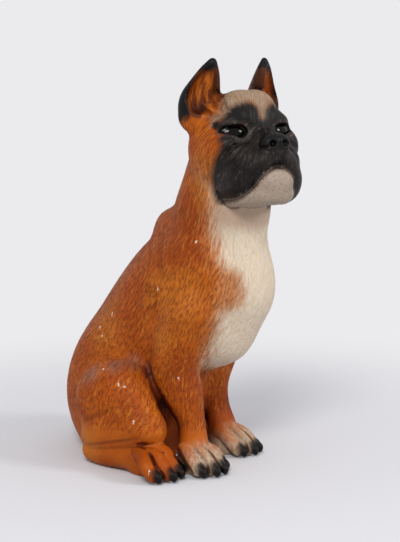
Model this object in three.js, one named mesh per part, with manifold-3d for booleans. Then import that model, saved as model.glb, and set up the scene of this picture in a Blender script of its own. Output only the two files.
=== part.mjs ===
// A seated boxer dog, cast in one piece and painted.
// Millimetres, +Z up. The dog faces -Y, and its right side is on -X.
// The head is turned to the dog's right and tipped up a little.
import * as THREE from 'three';
import { mergeVertices } from 'three/addons/utils/BufferGeometryUtils.js';
import Module from 'manifold-3d';

// Overall height, from the underside of the paws to the tips of the ears
const HEIGHT = 298;

// The point between the eyes, and how the head is turned and tipped there
const HEAD_AT = [-12.5, -66.6, 247.6];
const HEAD_PITCH = -17;
const HEAD_YAW = -28;

// How far each foreleg stands behind or ahead of the middle of the pair, how far it leans forwards at the
// shoulder, and how far its paw reaches forwards from it and is turned out
const FORELEG_BACK = { right: -3, left: 7 };
const FORELEG_LEAN = { right: 0, left: 3 };
const FORELEG_X = { right: -30, left: 26 };
const FOREPAW_X = { right: -35, left: 23 };
const FOREPAW_REACH = { right: 27, left: 30 };
const FOREPAW_TURN = { right: -8, left: 8 };

// The left hind paw is drawn back and in, out of line with the right one
const HIND_LEFT_BACK = [-4, 30, 0];

// Each pad: how far out its middle lies, and its three half axes.
// Each toe: x at its root, x at its tip, y at its tip, and its radius.
const FORE_PAD = [0, 13, 13, 10];
const FORE_TOES = [[-7, -12.8, -12.5, 4.7], [-2.4, -4.4, -18, 4.9], [2.4, 4.4, -18, 4.9], [7, 12.8, -12.5, 4.7]];
const HIND_PAD = [-8.5, 11.5, 15, 11];
const HIND_TOES = [[-13, -15.5, -16, 4.8], [-8.5, -6.2, -21.5, 5.1], [-4, 3.4, -21.5, 5.1], [0, 12.8, -15, 4.8]];

// The right upper lip hangs less low than the left one
const LIP_RAISED = { right: 6.3, left: 0.5 };

// Facets: the side of the measuring grid, and the triangles that are left after thinning
const GRID = 1.8;
const TRIANGLES = 9400;

// The room that the measuring grid fills, to a little beyond the dog
const ROOM = { low: [-96, -112, -8], high: [96, 112, HEIGHT + 8] };

// The floor cuts the clay a little low, and the flat underside is cut after the thinning
const FIRST_FLOOR = -1.5;

// Two folds that touch in one point are drawn apart by this much
const HAIR = 0.03;

const COAT = new THREE.MeshStandardMaterial({ color: 0xb5652a, roughness: 0.55, metalness: 0 });

// A turn about X, then Y, then Z, in degrees
function turned(x = 0, y = 0, z = 0) {
  const angles = [x, y, z].map(THREE.MathUtils.degToRad);
  return new THREE.Matrix4().makeRotationFromEuler(new THREE.Euler(...angles, 'ZYX'));
}

const HEAD = turned(0, 0, HEAD_YAW).multiply(turned(HEAD_PITCH));
HEAD.setPosition(...HEAD_AT);

const MIRROR = new THREE.Matrix4().makeScale(-1, 1, 1);
const HERE = new THREE.Matrix4();

// An egg with three half axes, turned in its place
class Ball {
  constructor(centre, radii, turn = HERE, place = HERE) {
    const frame = new THREE.Matrix4().makeTranslation(...centre).multiply(turn);
    this.frame = place.clone().multiply(frame);
    this.radii = radii;
    const e = this.frame.elements;
    const half = [0, 1, 2].map((i) => radii.reduce((sum, r, j) => sum + Math.abs(e[4 * j + i]) * r, 0));
    this.low = half.map((h, i) => e[12 + i] - h);
    this.high = half.map((h, i) => e[12 + i] + h);
  }

  distance(x, y, z) {
    const e = this.frame.elements;
    const [rx, ry, rz] = this.radii;
    const dx = x - e[12];
    const dy = y - e[13];
    const dz = z - e[14];
    const a = (dx * e[0] + dy * e[1] + dz * e[2]) / rx;
    const b = (dx * e[4] + dy * e[5] + dz * e[6]) / ry;
    const c = (dx * e[8] + dy * e[9] + dz * e[10]) / rz;
    const scaled = Math.hypot(a, b, c);
    return (scaled * (scaled - 1)) / Math.max(Math.hypot(a / rx, b / ry, c / rz), 1e-6);
  }
}

// A rounded limb along a smooth line through points, each with its own radius.
// Squeeze is { axis, by }: the section is thinner along the axis by that factor.
class Limb {
  constructor(points, radii, { steps = 8, squeeze = null, place = HERE } = {}) {
    const path = new THREE.CatmullRomCurve3(points.map((p) => new THREE.Vector3(...p)), false, 'catmullrom', 0.5);
    const girth = new THREE.CatmullRomCurve3(radii.map((r) => new THREE.Vector3(r, 0, 0)), false, 'catmullrom', 0.5);
    const count = points.length === 2 ? 1 : steps * (points.length - 1);
    const at = [...Array(count + 1).keys()].map((i) => i / count);
    this.points = at.map((t) => path.getPoint(t).applyMatrix4(place).toArray());
    this.radii = at.map((t) => girth.getPoint(t).x);
    const widest = Math.max(...this.radii);
    this.low = [0, 1, 2].map((i) => Math.min(...this.points.map((p) => p[i])) - widest);
    this.high = [0, 1, 2].map((i) => Math.max(...this.points.map((p) => p[i])) + widest);
    this.axis = squeeze ? new THREE.Vector3(...squeeze.axis).transformDirection(place).toArray() : [0, 0, 0];
    this.by = squeeze ? squeeze.by : 1;
    this.points = this.points.map((p) => this.stretch(p));
  }

  // Stretching space along the axis makes the section round again
  stretch([x, y, z]) {
    const [ax, ay, az] = this.axis;
    const extra = (x * ax + y * ay + z * az) * (this.by - 1);
    return [x + ax * extra, y + ay * extra, z + az * extra];
  }

  distance(x, y, z) {
    const p = this.stretch([x, y, z]);
    let nearest = Infinity;
    for (let i = 0; i + 1 < this.points.length; i++) {
      const a = this.points[i];
      const b = this.points[i + 1];
      const ux = b[0] - a[0];
      const uy = b[1] - a[1];
      const uz = b[2] - a[2];
      const vx = p[0] - a[0];
      const vy = p[1] - a[1];
      const vz = p[2] - a[2];
      const along = (vx * ux + vy * uy + vz * uz) / Math.max(ux * ux + uy * uy + uz * uz, 1e-9);
      const t = Math.min(Math.max(along, 0), 1);
      const radius = this.radii[i] + (this.radii[i + 1] - this.radii[i]) * t;
      nearest = Math.min(nearest, Math.hypot(vx - ux * t, vy - uy * t, vz - uz * t) - radius);
    }
    return nearest / (1 + 0.5 * (this.by - 1));
  }
}

// The smaller of two distances, with the seam between them filled over the blend width
function smoothLeast(a, b, blend) {
  const near = Math.max(blend - Math.abs(a - b), 0);
  return Math.min(a, b) - (near * near) / (4 * blend);
}

// Clay that forms are added to and cut from, one after another
class Clay {
  constructor() {
    this.steps = [];
  }

  add(form, blend) {
    this.steps.push({ form, blend, sign: 1, reach: blend + 8 });
  }

  cut(form, blend) {
    this.steps.push({ form, blend, sign: -1, reach: blend + 8 });
  }

  near(low, high) {
    return this.steps.filter(({ form, reach }) => [0, 1, 2].every((i) => high[i] > form.low[i] - reach
      && low[i] < form.high[i] + reach));
  }

  distance(x, y, z, steps = this.steps) {
    let d = 1000;
    for (const { form, blend, sign, reach } of steps) {
      const outside = x < form.low[0] - reach || x > form.high[0] + reach || y < form.low[1] - reach
        || y > form.high[1] + reach || z < form.low[2] - reach || z > form.high[2] + reach;
      if (outside) continue;
      d = sign * smoothLeast(sign * d, form.distance(x, y, z), blend);
    }
    return d;
  }
}

// Everything below the floor is cut away, a little lower than where the dog finally stands
class Ground {
  constructor(level) {
    this.level = level;
    this.low = [-Infinity, -Infinity, -Infinity];
    this.high = [Infinity, Infinity, Infinity];
  }

  distance(x, y, z) {
    return z - this.level;
  }
}

// The same form on the dog's left and, mirrored, on its right
function bothSides(place, make) {
  for (const side of [HERE, MIRROR]) make(place.clone().multiply(side));
}

function trunk(clay) {
  const spine = [[0, 46, 14], [0, 48, 44], [0, 30, 84], [0, 3, 120], [0, -19, 156], [0, -31, 190], [0, -37, 222]];
  const girth = [42, 56, 50, 49.5, 38.5, 36, 31];
  clay.add(new Limb(spine, girth, { steps: 9, squeeze: { axis: [1, 0, 0], by: 1.22 } }), 10);
  clay.add(new Ball([0, -47, 132], [25, 24, 33], turned(5)), 18);
  clay.add(new Ball([0, -30, 100], [24, 24, 26]), 14);
  bothSides(HERE, (side) => {
    clay.add(new Ball([26, -18, 132], [16, 30, 40], turned(18), side), 12);
    clay.add(new Ball([8, 10, 172], [10, 12, 15], turned(10), side), 8);
    clay.add(new Ball([37, 6, 123], [7, 8, 8], HERE, side), 6);
  });
}

// The deep hollow between the thigh and the foreleg
function flankHollow(clay) {
  const line = [[55, 10, 86], [52, -1, 70], [49, -6, 56], [47, -8, 42], [46, -8, 28], [45, -7, 14]];
  bothSides(HERE, (side) => clay.cut(new Limb(line, [3, 7, 10, 12, 13, 12], { place: side }), 5));
}

// A paw: the pad, then four toes, each with its claw
function paw(clay, place, [out, ...pad], toes) {
  clay.add(new Ball([out, 3, 6], pad, HERE, place), 6);
  for (const [root, tip, front, r] of toes) {
    const knuckle = [0.5 * (root + tip), front + 12.5, 15.5];
    const toe = [[root, 6, 17.5], knuckle, [tip, front + 5.5, 11.5], [tip, front, 6]];
    clay.add(new Limb(toe, [5, r + 0.3, r + 0.3, r], { place }), 0.8);
    const nib = front - r;
    const claw = [[tip, nib + 3, 7.6], [tip, nib, 5.3], [tip, nib - 0.4, 2.9]];
    clay.add(new Limb(claw, [2.6, 2.9, 2.1], { steps: 4, place }), 1);
  }
}

function forelegs(clay) {
  for (const side of ['right', 'left']) {
    const x = FORELEG_X[side];
    const pawX = FOREPAW_X[side];
    const back = FORELEG_BACK[side];
    const lean = FORELEG_LEAN[side];
    const bones = [
      [x * 1.1, 0.3 * back - 22 - lean, 116],
      [x, 0.3 * back - 8 - 0.5 * lean, 76],
      [x, back - 13 + 0.6 * lean, 53],
      [x, back - 19 + lean, 35],
      [(x + pawX) / 2, back - 23, 18],
    ];
    clay.add(new Limb(bones, [19, 18, 14, 10.3, 11], { steps: 12 }), 7);
    const place = turned(0, 0, FOREPAW_TURN[side]).setPosition(pawX, back - FOREPAW_REACH[side], 0);
    paw(clay, place, FORE_PAD, FORE_TOES);
  }
}

// One hind leg: the thigh, the knee, the shin folded down on the foot, the instep and the paw
function hindLeg(clay, side, back) {
  const moved = (share) => new THREE.Matrix4().makeTranslation(...back.map((b, i) => b * share[i])).premultiply(side);
  clay.add(new Ball([42.5, 31, 50], [25, 31, 29], HERE, moved([0.4, 0.4, 0])), 5);
  clay.add(new Ball([44, 38, 44], [23, 28, 27], HERE, moved([0.5, 0.5, 0])), 12);
  clay.add(new Ball([54, 9, 37], [15, 16, 20], HERE, moved([0.8, 0.8, 0])), 10);
  const shin = [[55, -2, 31], [58, 18, 28], [57, 38, 23], [52, 50, 19]];
  clay.add(new Limb(shin, [13, 13.5, 12, 9.5], { place: moved([0.5, 0.5, 0]) }), 8);
  const foot = [[52, 48, 9.5], [56, 34, 9.5], [58, 14, 11.5], [58, -4, 13]];
  clay.add(new Limb(foot, [10, 10, 10.5, 11], { place: moved([0.5, 0.5, 0]) }), 2);
  clay.add(new Ball([57, -9, 13], [10.5, 15, 10.5], HERE, moved([1, 1, 0])), 4);
  paw(clay, moved([1, 1, 0]).multiply(new THREE.Matrix4().makeTranslation(66, -6, 0)), HIND_PAD, HIND_TOES);
}

function skull(clay) {
  clay.add(new Ball([0, 24, 5], [28, 32, 29], HERE, HEAD), 12);
  bothSides(HEAD, (side) => clay.add(new Ball([8, 8, 17], [11, 12, 13], HERE, side), 8));
  bothSides(HEAD, (side) => clay.add(new Ball([21, 19, -12], [16, 23, 23], HERE, side), 10));
  bothSides(HEAD, (side) => clay.add(new Ball([22, 33, -5], [12.5, 14, 19], HERE, side), 10));
  bothSides(HEAD, (side) => clay.add(new Ball([15.5, 2.5, 8.5], [11.5, 7, 5.5], turned(0, 12), side), 6));
  bothSides(HEAD, (side) => clay.add(new Ball([25.5, 12, -9], [8, 14, 8], HERE, side), 8));
}

// The short muzzle, with the upper lips hanging over the jaw
function muzzle(clay) {
  clay.add(new Ball([0, 0, -22], [18, 18, 17], HERE, HEAD), 7);
  clay.add(new Limb([[0, 5, -6], [0, -8, -10], [0, -18, -13]], [10, 9, 7.5], { place: HEAD }), 5);
  bothSides(HEAD, (side) => clay.add(new Ball([14, -3, -23], [12, 14, 12], HERE, side), 5));
  const lip = [[4, -17.5, -21.5], [10.5, -15, -27.5], [16, -8.5, -36], [19, 1, -42.5], [20.5, 11, -44.5],
    [20.5, 18, -44]];
  const share = [0, 0.25, 0.8, 1, 1.15, 1.1];
  for (const [side, mirror] of [['left', HERE], ['right', MIRROR]]) {
    const place = HEAD.clone().multiply(mirror);
    const up = LIP_RAISED[side];
    const line = lip.map(([x, y, z], i) => [x, y, z + up * share[i]]);
    clay.add(new Limb(line, [6, 7, 7.5, 7.5, 7.2, 6.5], { place }), 4);
    clay.add(new Ball([18.5, 7, -33 + 0.7 * up], [10.5, 17, 16 - 0.3 * up], HERE, place), 6);
  }
}

function nose(clay) {
  clay.add(new Ball([0, -18.5, -14], [10.5, 7, 6.2], HERE, HEAD), 2.5);
  bothSides(HEAD, (side) => clay.add(new Ball([5.6, -20.6, -14.6], [4.9, 4.6, 5.6], HERE, side), 3.5));
  bothSides(HEAD, (side) => clay.cut(new Ball([5.2, -25.8, -15], [2.5, 4.2, 2.3], turned(0, 0, 20), side), 0.8));
  const slit = [[6, -25.2, -16], [9, -23.6, -17.4], [11, -19.5, -16.5]];
  bothSides(HEAD, (side) => clay.cut(new Limb(slit, [1.1, 1, 0.9], { place: side }), 0.8));
  clay.cut(new Limb([[0, -26.6, -15.5], [0, -26, -20], [0, -24.6, -27]], [1, 1, 1], { place: HEAD }), 1.5);
}

function jaw(clay) {
  clay.add(new Ball([0, 12, -39], [19, 22, 11.5], HERE, HEAD), 5);
  const rim = [[0, -8, -45], [8, -6, -46], [14, 5, -45.5], [17.5, 18, -43.5]];
  bothSides(HEAD, (side) => clay.add(new Limb(rim, [9.6, 8.6, 7.4, 6.5], { place: side }), 2));
  clay.add(new Limb([[-3.5, -10.4, -38.8], [3.5, -10.4, -38.8]], [11, 11], { place: HEAD }), 2);
}

// Each eye: a socket, the ball in it, and the two lids
function eyes(clay) {
  bothSides(HEAD, (side) => clay.cut(new Ball([19.9, 1.8, -0.5], [10.8, 5.6, 6.8], turned(0, 0, 25), side), 1.2));
  bothSides(HEAD, (side) => clay.add(new Ball([18, 9.2, -0.6], [13.5, 10.6, 9.6], turned(0, 0, 22), side), 0.3));
  const upper = [[8.4, -1.6, -3], [12.4, -1.6, 4.4], [19.5, 0.4, 7.6], [26.3, 3.4, 5], [30.5, 7.4, -2]];
  const lower = [[8.4, -1.6, -3], [13, -1.6, -7.2], [19.5, 0.2, -8.7], [25.8, 3.6, -7], [30.5, 7.4, -2]];
  bothSides(HEAD, (side) => {
    clay.add(new Limb(upper, [1, 1.9, 2.2, 1.9, 1], { place: side }), 1.5);
    clay.add(new Limb(lower, [1, 1.5, 1.8, 1.5, 1], { place: side }), 1.5);
  });
}

// Each ear: a pointed shell, hollowed from the front, with the hollow open towards the forehead
function ears(clay) {
  const facing = new THREE.Vector3(0.4, -0.91, 0.1).normalize().toArray();
  const shell = [[27.5, 32.5, 20], [26.8, 29, 28], [25.3, 22.5, 36], [23.5, 15.5, 45], [21.8, 10.5, 52.8]];
  const cup = [[27.2, 30.5, 25.5], [27, 28, 30], [25.4, 22, 36.5], [23.6, 15.5, 44.5], [22.3, 12, 49.5]];
  const mouth = [[25.5, 18, 27], [22, 12.5, 21], [19.5, 7, 15]];
  const front = cup.map((p) => p.map((c, i) => c + 6.5 * facing[i]));
  bothSides(HEAD, (side) => {
    const shellForm = { steps: 9, squeeze: { axis: facing, by: 1.5 }, place: side };
    clay.add(new Limb(shell, [14, 14.5, 11.8, 7.8, 3.2], shellForm), 5);
    const cupForm = { steps: 9, squeeze: { axis: facing, by: 1.1 }, place: side };
    clay.cut(new Limb(front, [7.6, 9, 8, 5.2, 1.8], cupForm), 2);
    clay.cut(new Limb(mouth, [8, 6, 3], { place: side }), 4);
  });
}

function sculpt() {
  const clay = new Clay();
  trunk(clay);
  flankHollow(clay);
  forelegs(clay);
  hindLeg(clay, HERE, HIND_LEFT_BACK);
  hindLeg(clay, MIRROR, [0, 0, 0]);
  for (const part of [skull, muzzle, nose, jaw, eyes, ears]) part(clay);
  clay.cut(new Ground(FIRST_FLOOR), 0.5);
  return clay;
}

// A net of quads over the clay's surface, as two triangles each
function surfaceNet(clay, cell, low, high) {
  const block = 8;
  const count = low.map((l, i) => Math.ceil((high[i] - l) / cell / block) * block + 1);
  const stride = [count[1] * count[2], count[2], 1];
  const values = new Float32Array(count[0] * count[1] * count[2]).fill(1000);
  const spot = (i, axis) => low[axis] + i * cell;
  const radius = (block * cell * Math.sqrt(3)) / 2;
  for (let bi = 0; bi + 1 < count[0]; bi += block) {
    for (let bj = 0; bj + 1 < count[1]; bj += block) {
      for (let bk = 0; bk + 1 < count[2]; bk += block) {
        const corner = [bi, bj, bk];
        const steps = clay.near(corner.map(spot), corner.map((c, axis) => spot(c + block, axis)));
        if (!steps.length) continue;
        const open = steps.map((step) => ({ ...step, reach: Infinity }));
        const middle = clay.distance(...corner.map((c, axis) => spot(c + block / 2, axis)), open);
        const far = Math.abs(middle) > 2 * radius;
        for (let i = bi; i <= bi + block; i++) {
          for (let j = bj; j <= bj + block; j++) {
            for (let k = bk; k <= bk + block; k++) {
              const n = i * stride[0] + j * stride[1] + k;
              values[n] = far ? middle : clay.distance(spot(i, 0), spot(j, 1), spot(k, 2), steps);
            }
          }
        }
      }
    }
  }
  const points = [];
  const index = new Int32Array(values.length).fill(-1);
  const corners = [...Array(8).keys()].map((c) => [(c >> 2) & 1, (c >> 1) & 1, c & 1]);
  for (let i = 0; i + 1 < count[0]; i++) {
    for (let j = 0; j + 1 < count[1]; j++) {
      for (let k = 0; k + 1 < count[2]; k++) {
        const base = i * stride[0] + j * stride[1] + k;
        const at = corners.map((c) => values[base + c[0] * stride[0] + c[1] * stride[1] + c[2]]);
        const inside = at.filter((v) => v < 0).length;
        if (inside === 0 || inside === 8) continue;
        const sum = [0, 0, 0];
        let crossings = 0;
        for (let c = 0; c < 8; c++) {
          for (let axis = 0; axis < 3; axis++) {
            const next = c | (4 >> axis);
            if (next === c || (at[c] < 0) === (at[next] < 0)) continue;
            const t = at[c] / (at[c] - at[next]);
            for (let a = 0; a < 3; a++) sum[a] += corners[c][a] + (a === axis ? t : 0);
            crossings++;
          }
        }
        index[base] = points.length;
        points.push([i, j, k].map((n, axis) => spot(n + sum[axis] / crossings, axis)));
      }
    }
  }
  const faces = [];
  for (let i = 1; i + 1 < count[0]; i++) {
    for (let j = 1; j + 1 < count[1]; j++) {
      for (let k = 1; k + 1 < count[2]; k++) {
        const base = i * stride[0] + j * stride[1] + k;
        for (let axis = 0; axis < 3; axis++) {
          const inside = values[base] < 0;
          if (inside === values[base + stride[axis]] < 0) continue;
          const u = stride[(axis + 1) % 3];
          const v = stride[(axis + 2) % 3];
          const ring = [base - u - v, base - v, base, base - u].map((n) => index[n]);
          if (!inside) ring.reverse();
          faces.push([ring[0], ring[1], ring[2]], [ring[0], ring[2], ring[3]]);
        }
      }
    }
  }
  return { points, faces };
}

// Points are moved onto the true surface, by steps down the slope of the distance
function settle(clay, points) {
  const e = 0.3;
  return points.map((start) => {
    let p = start;
    for (let round = 0; round < 2; round++) {
      const [x, y, z] = p;
      const slope = [
        (clay.distance(x + e, y, z) - clay.distance(x - e, y, z)) / (2 * e),
        (clay.distance(x, y + e, z) - clay.distance(x, y - e, z)) / (2 * e),
        (clay.distance(x, y, z + e) - clay.distance(x, y, z - e)) / (2 * e),
      ];
      const steep = Math.max(slope[0] ** 2 + slope[1] ** 2 + slope[2] ** 2, 0.05);
      const step = Math.min(Math.max(clay.distance(x, y, z) / steep, -1), 1);
      p = p.map((c, i) => c - step * slope[i]);
    }
    return p;
  });
}

// A heap of edges, with the cheapest on top
class Heap {
  constructor() {
    this.items = [];
  }

  push(item) {
    const { items } = this;
    let i = items.length;
    items.push(item);
    while (i > 0) {
      const up = (i - 1) >> 1;
      if (items[up].cost <= item.cost) break;
      items[i] = items[up];
      i = up;
    }
    items[i] = item;
  }

  pop() {
    const { items } = this;
    const top = items[0];
    const last = items.pop();
    if (items.length) {
      let i = 0;
      for (;;) {
        let child = 2 * i + 1;
        if (child >= items.length) break;
        if (child + 1 < items.length && items[child + 1].cost < items[child].cost) child++;
        if (items[child].cost >= last.cost) break;
        items[i] = items[child];
        i = child;
      }
      items[i] = last;
    }
    return top;
  }
}

const minus = (a, b) => [a[0] - b[0], a[1] - b[1], a[2] - b[2]];
const dot = (a, b) => a[0] * b[0] + a[1] * b[1] + a[2] * b[2];
const cross = (a, b) => [a[1] * b[2] - a[2] * b[1], a[2] * b[0] - a[0] * b[2], a[0] * b[1] - a[1] * b[0]];

// Edges are merged, the least missed first, until the mesh has few enough triangles.
// What an edge costs is its squared distance from the planes of the faces that it stands for.
function thin({ points, faces }, target, weight) {
  const pos = points.map((p) => [...p]);
  const tri = faces.map((f) => [...f]);
  const around = pos.map(() => new Set());
  const planes = pos.map(() => new Float64Array(10));
  const stamp = new Int32Array(pos.length);
  tri.forEach((f, n) => {
    const normal = cross(minus(pos[f[1]], pos[f[0]]), minus(pos[f[2]], pos[f[0]]));
    const size = Math.max(Math.sqrt(dot(normal, normal)), 1e-12);
    const [a, b, c] = normal.map((v) => v / size);
    const d = -dot([a, b, c], pos[f[0]]);
    const w = size * weight(pos[f[0]]);
    const terms = [a * a, a * b, a * c, a * d, b * b, b * c, b * d, c * c, c * d, d * d];
    for (const v of f) {
      around[v].add(n);
      for (let i = 0; i < 10; i++) planes[v][i] += w * terms[i];
    }
  });
  const miss = (q, [x, y, z]) => q[0] * x * x + 2 * q[1] * x * y + 2 * q[2] * x * z + 2 * q[3] * x + q[4] * y * y
    + 2 * q[5] * y * z + 2 * q[6] * y + q[7] * z * z + 2 * q[8] * z + q[9];
  const best = (u, v) => {
    const q = planes[u].map((value, i) => value + planes[v][i]);
    const middle = pos[u].map((c, i) => (c + pos[v][i]) / 2);
    const columns = [[q[0], q[1], q[2]], [q[1], q[4], q[5]], [q[2], q[5], q[7]]];
    const det = dot(columns[0], cross(columns[1], columns[2]));
    const places = [pos[u], pos[v], middle];
    if (Math.abs(det) > 1e-4 * (q[0] + q[4] + q[7]) ** 3) {
      const right = [-q[3], -q[6], -q[8]];
      const x = dot(right, cross(columns[1], columns[2])) / det;
      const y = dot(columns[0], cross(right, columns[2])) / det;
      const z = dot(columns[0], cross(columns[1], right)) / det;
      const off = minus([x, y, z], middle);
      const edge = minus(pos[u], pos[v]);
      if (dot(off, off) < 4 * dot(edge, edge)) places.push([x, y, z]);
    }
    const costs = places.map((p) => miss(q, p));
    const pick = costs.indexOf(Math.min(...costs));
    const edge = minus(pos[u], pos[v]);
    return { at: places[pick], cost: Math.max(costs[pick], 0) + 1e-4 * dot(edge, edge) };
  };
  const neighbours = (v) => {
    const out = new Set();
    for (const n of around[v]) for (const w of tri[n]) if (w !== v) out.add(w);
    return out;
  };
  const heap = new Heap();
  const offer = (u, v) => {
    const { at, cost } = best(u, v);
    heap.push({ cost, u, v, at, su: stamp[u], sv: stamp[v] });
  };
  tri.forEach((f) => f.forEach((u, i) => u < f[(i + 1) % 3] && offer(u, f[(i + 1) % 3])));
  let left = tri.length;
  const folds = (keep, gone, at) => [...around[keep]].some((n) => {
    const f = tri[n];
    if (f.includes(gone)) return false;
    const now = f.map((w) => pos[w]);
    const then = f.map((w) => (w === keep ? at : pos[w]));
    const a = cross(minus(now[1], now[0]), minus(now[2], now[0]));
    const b = cross(minus(then[1], then[0]), minus(then[2], then[0]));
    const longest = Math.max(...then.map((p, i) => dot(minus(p, then[(i + 1) % 3]), minus(p, then[(i + 1) % 3]))));
    return dot(a, b) < 0.3 * Math.sqrt(dot(a, a) * dot(b, b)) || Math.sqrt(dot(b, b)) < 0.04 * longest;
  });
  while (left > target && heap.items.length) {
    const { u, v, at, su, sv } = heap.pop();
    if (stamp[u] !== su || stamp[v] !== sv) continue;
    const beside = neighbours(v);
    const shared = [...neighbours(u)].filter((w) => beside.has(w));
    if (shared.length !== 2 || folds(u, v, at) || folds(v, u, at)) continue;
    pos[u] = at;
    for (let i = 0; i < 10; i++) planes[u][i] += planes[v][i];
    for (const n of around[v]) {
      const f = tri[n];
      if (f.includes(u)) {
        for (const w of f) around[w].delete(n);
        tri[n] = null;
        left--;
      } else {
        f[f.indexOf(v)] = u;
        around[u].add(n);
      }
    }
    stamp[u]++;
    stamp[v] = -1;
    for (const w of neighbours(u)) offer(u, w);
  }
  const order = new Map();
  const kept = tri.filter((f) => f).map((f) => f.map((v) => {
    if (!order.has(v)) order.set(v, order.size);
    return order.get(v);
  }));
  return { points: [...order.keys()].map((v) => pos[v]), faces: kept };
}

const wasm = await Module();
wasm.setup();

function solid({ points, faces }) {
  const mesh = new wasm.Mesh({
    numProp: 3,
    vertProperties: new Float32Array(points.flat()),
    triVerts: new Uint32Array(faces.flat()),
  });
  return new wasm.Manifold(mesh);
}

// The room above the floor: what it doesn't hold of the dog is cut away, so the underside is flat
function roomAbove(width, height) {
  const box = new THREE.BoxGeometry(width, width, height).translate(0, 0, height / 2);
  box.deleteAttribute('normal');
  box.deleteAttribute('uv');
  const merged = mergeVertices(box);
  const mesh = new wasm.Mesh({
    numProp: 3,
    vertProperties: new Float32Array(merged.attributes.position.array),
    triVerts: new Uint32Array(merged.index.array),
  });
  return new wasm.Manifold(mesh);
}

// The largest shell of a mesh, without the specks of air that are shut in at the corners of the eyes
function outerShell({ vertProperties, triVerts }) {
  const leader = [...Array(vertProperties.length / 3).keys()];
  const find = (i) => {
    let top = i;
    while (leader[top] !== top) top = leader[top];
    leader[i] = top;
    return top;
  };
  const faces = [];
  for (let i = 0; i < triVerts.length; i += 3) faces.push([...triVerts.slice(i, i + 3)]);
  for (const [a, b, c] of faces) {
    leader[find(b)] = find(a);
    leader[find(c)] = find(a);
  }
  const sizes = new Map();
  for (const [a] of faces) sizes.set(find(a), (sizes.get(find(a)) ?? 0) + 1);
  const largest = [...sizes].reduce((best, entry) => (entry[1] > best[1] ? entry : best))[0];
  const order = new Map();
  const kept = faces.filter(([a]) => find(a) === largest).flat().map((v) => {
    if (!order.has(v)) order.set(v, order.size);
    return order.get(v);
  });
  const points = new Float32Array(order.size * 3);
  for (const [v, i] of order) points.set(vertProperties.slice(3 * v, 3 * v + 3), 3 * i);
  return { points, faces: kept };
}

// Where two folds touch in one point, each is drawn back from the other by a hair
function drawApart({ points, faces }, hair) {
  const corner = (v) => [...points.slice(3 * v, 3 * v + 3)];
  const sharing = new Map();
  for (let v = 0; 3 * v < points.length; v++) {
    const key = corner(v).map((c) => c.toFixed(3)).join();
    sharing.set(key, [...(sharing.get(key) ?? []), v]);
  }
  const touching = new Set([...sharing.values()].filter((group) => group.length > 1).flat());
  const outward = new Map([...touching].map((v) => [v, [0, 0, 0]]));
  for (let i = 0; i < faces.length; i += 3) {
    const [a, b, c] = faces.slice(i, i + 3);
    if (![a, b, c].some((v) => touching.has(v))) continue;
    const normal = cross(minus(corner(b), corner(a)), minus(corner(c), corner(a)));
    for (const v of [a, b, c]) outward.get(v)?.forEach((sum, k, all) => { all[k] = sum + normal[k]; });
  }
  for (const [v, sum] of outward) {
    const size = Math.max(Math.sqrt(dot(sum, sum)), 1e-9);
    points.set(corner(v).map((c, k) => c - (hair * sum[k]) / size), 3 * v);
  }
  return { points, faces };
}

// The face keeps the finest facets, then the paws
function detail([, , z]) {
  if (z > 190) return 5;
  return z < 24 ? 2 : 1;
}

const clay = sculpt();
const net = surfaceNet(clay, GRID, ROOM.low, ROOM.high);
const cast = thin({ points: settle(clay, net.points), faces: net.faces }, TRIANGLES, detail);
const above = roomAbove(2 * HEIGHT, 2 * HEIGHT);
const standing = drawApart(outerShell(solid(cast).intersect(above).getMesh()), HAIR);

const geometry = new THREE.BufferGeometry();
geometry.setAttribute('position', new THREE.BufferAttribute(standing.points, 3));
geometry.setIndex(standing.faces);
geometry.computeBoundingBox();
const middle = geometry.boundingBox.getCenter(new THREE.Vector3());
geometry.translate(-middle.x, -middle.y, 0);
geometry.computeVertexNormals();

const dog = new THREE.Mesh(geometry, COAT);
dog.name = 'dog';

const figurine = new THREE.Group();
figurine.add(dog);

export default figurine;
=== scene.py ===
"""A seated boxer dog, cast in one piece and painted by hand.

The cast is modelled as clay: eggs and limbs that are blended, cut and creased, in millimetres, with the
dog facing -Y and its right side on -X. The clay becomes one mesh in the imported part's own frame. The hair is
then pressed into it as short strokes, and the paint is laid over it in patches.
"""

from __future__ import annotations

import logging
import math
from concurrent.futures import ThreadPoolExecutor
from dataclasses import dataclass, field
from enum import Enum
from typing import Iterable, Sequence

import bpy
import numpy as np
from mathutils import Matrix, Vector

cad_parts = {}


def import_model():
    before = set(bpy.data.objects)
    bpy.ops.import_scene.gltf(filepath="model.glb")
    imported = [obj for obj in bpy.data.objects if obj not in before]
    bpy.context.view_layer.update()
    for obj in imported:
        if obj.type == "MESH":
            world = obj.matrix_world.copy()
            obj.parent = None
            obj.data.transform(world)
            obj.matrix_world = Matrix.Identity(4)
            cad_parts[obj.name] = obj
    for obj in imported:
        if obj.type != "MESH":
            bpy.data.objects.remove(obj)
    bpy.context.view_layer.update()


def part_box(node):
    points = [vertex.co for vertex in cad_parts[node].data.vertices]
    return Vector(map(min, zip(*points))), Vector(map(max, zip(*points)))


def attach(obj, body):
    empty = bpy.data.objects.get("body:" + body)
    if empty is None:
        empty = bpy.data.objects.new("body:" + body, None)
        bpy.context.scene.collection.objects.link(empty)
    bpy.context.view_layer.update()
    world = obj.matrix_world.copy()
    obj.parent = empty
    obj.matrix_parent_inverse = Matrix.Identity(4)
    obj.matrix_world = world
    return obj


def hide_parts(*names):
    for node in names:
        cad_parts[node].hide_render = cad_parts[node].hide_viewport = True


LOG = logging.getLogger("boxer")

Array = np.ndarray
Point = Sequence[float]
Thing = bpy.types.Object
Mesh = bpy.types.Mesh
Material = bpy.types.Material
Socket = bpy.types.NodeSocket

# A millimetre, in metres. The clay is measured in millimetres, and the mesh in metres.
MM = 0.001
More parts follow.
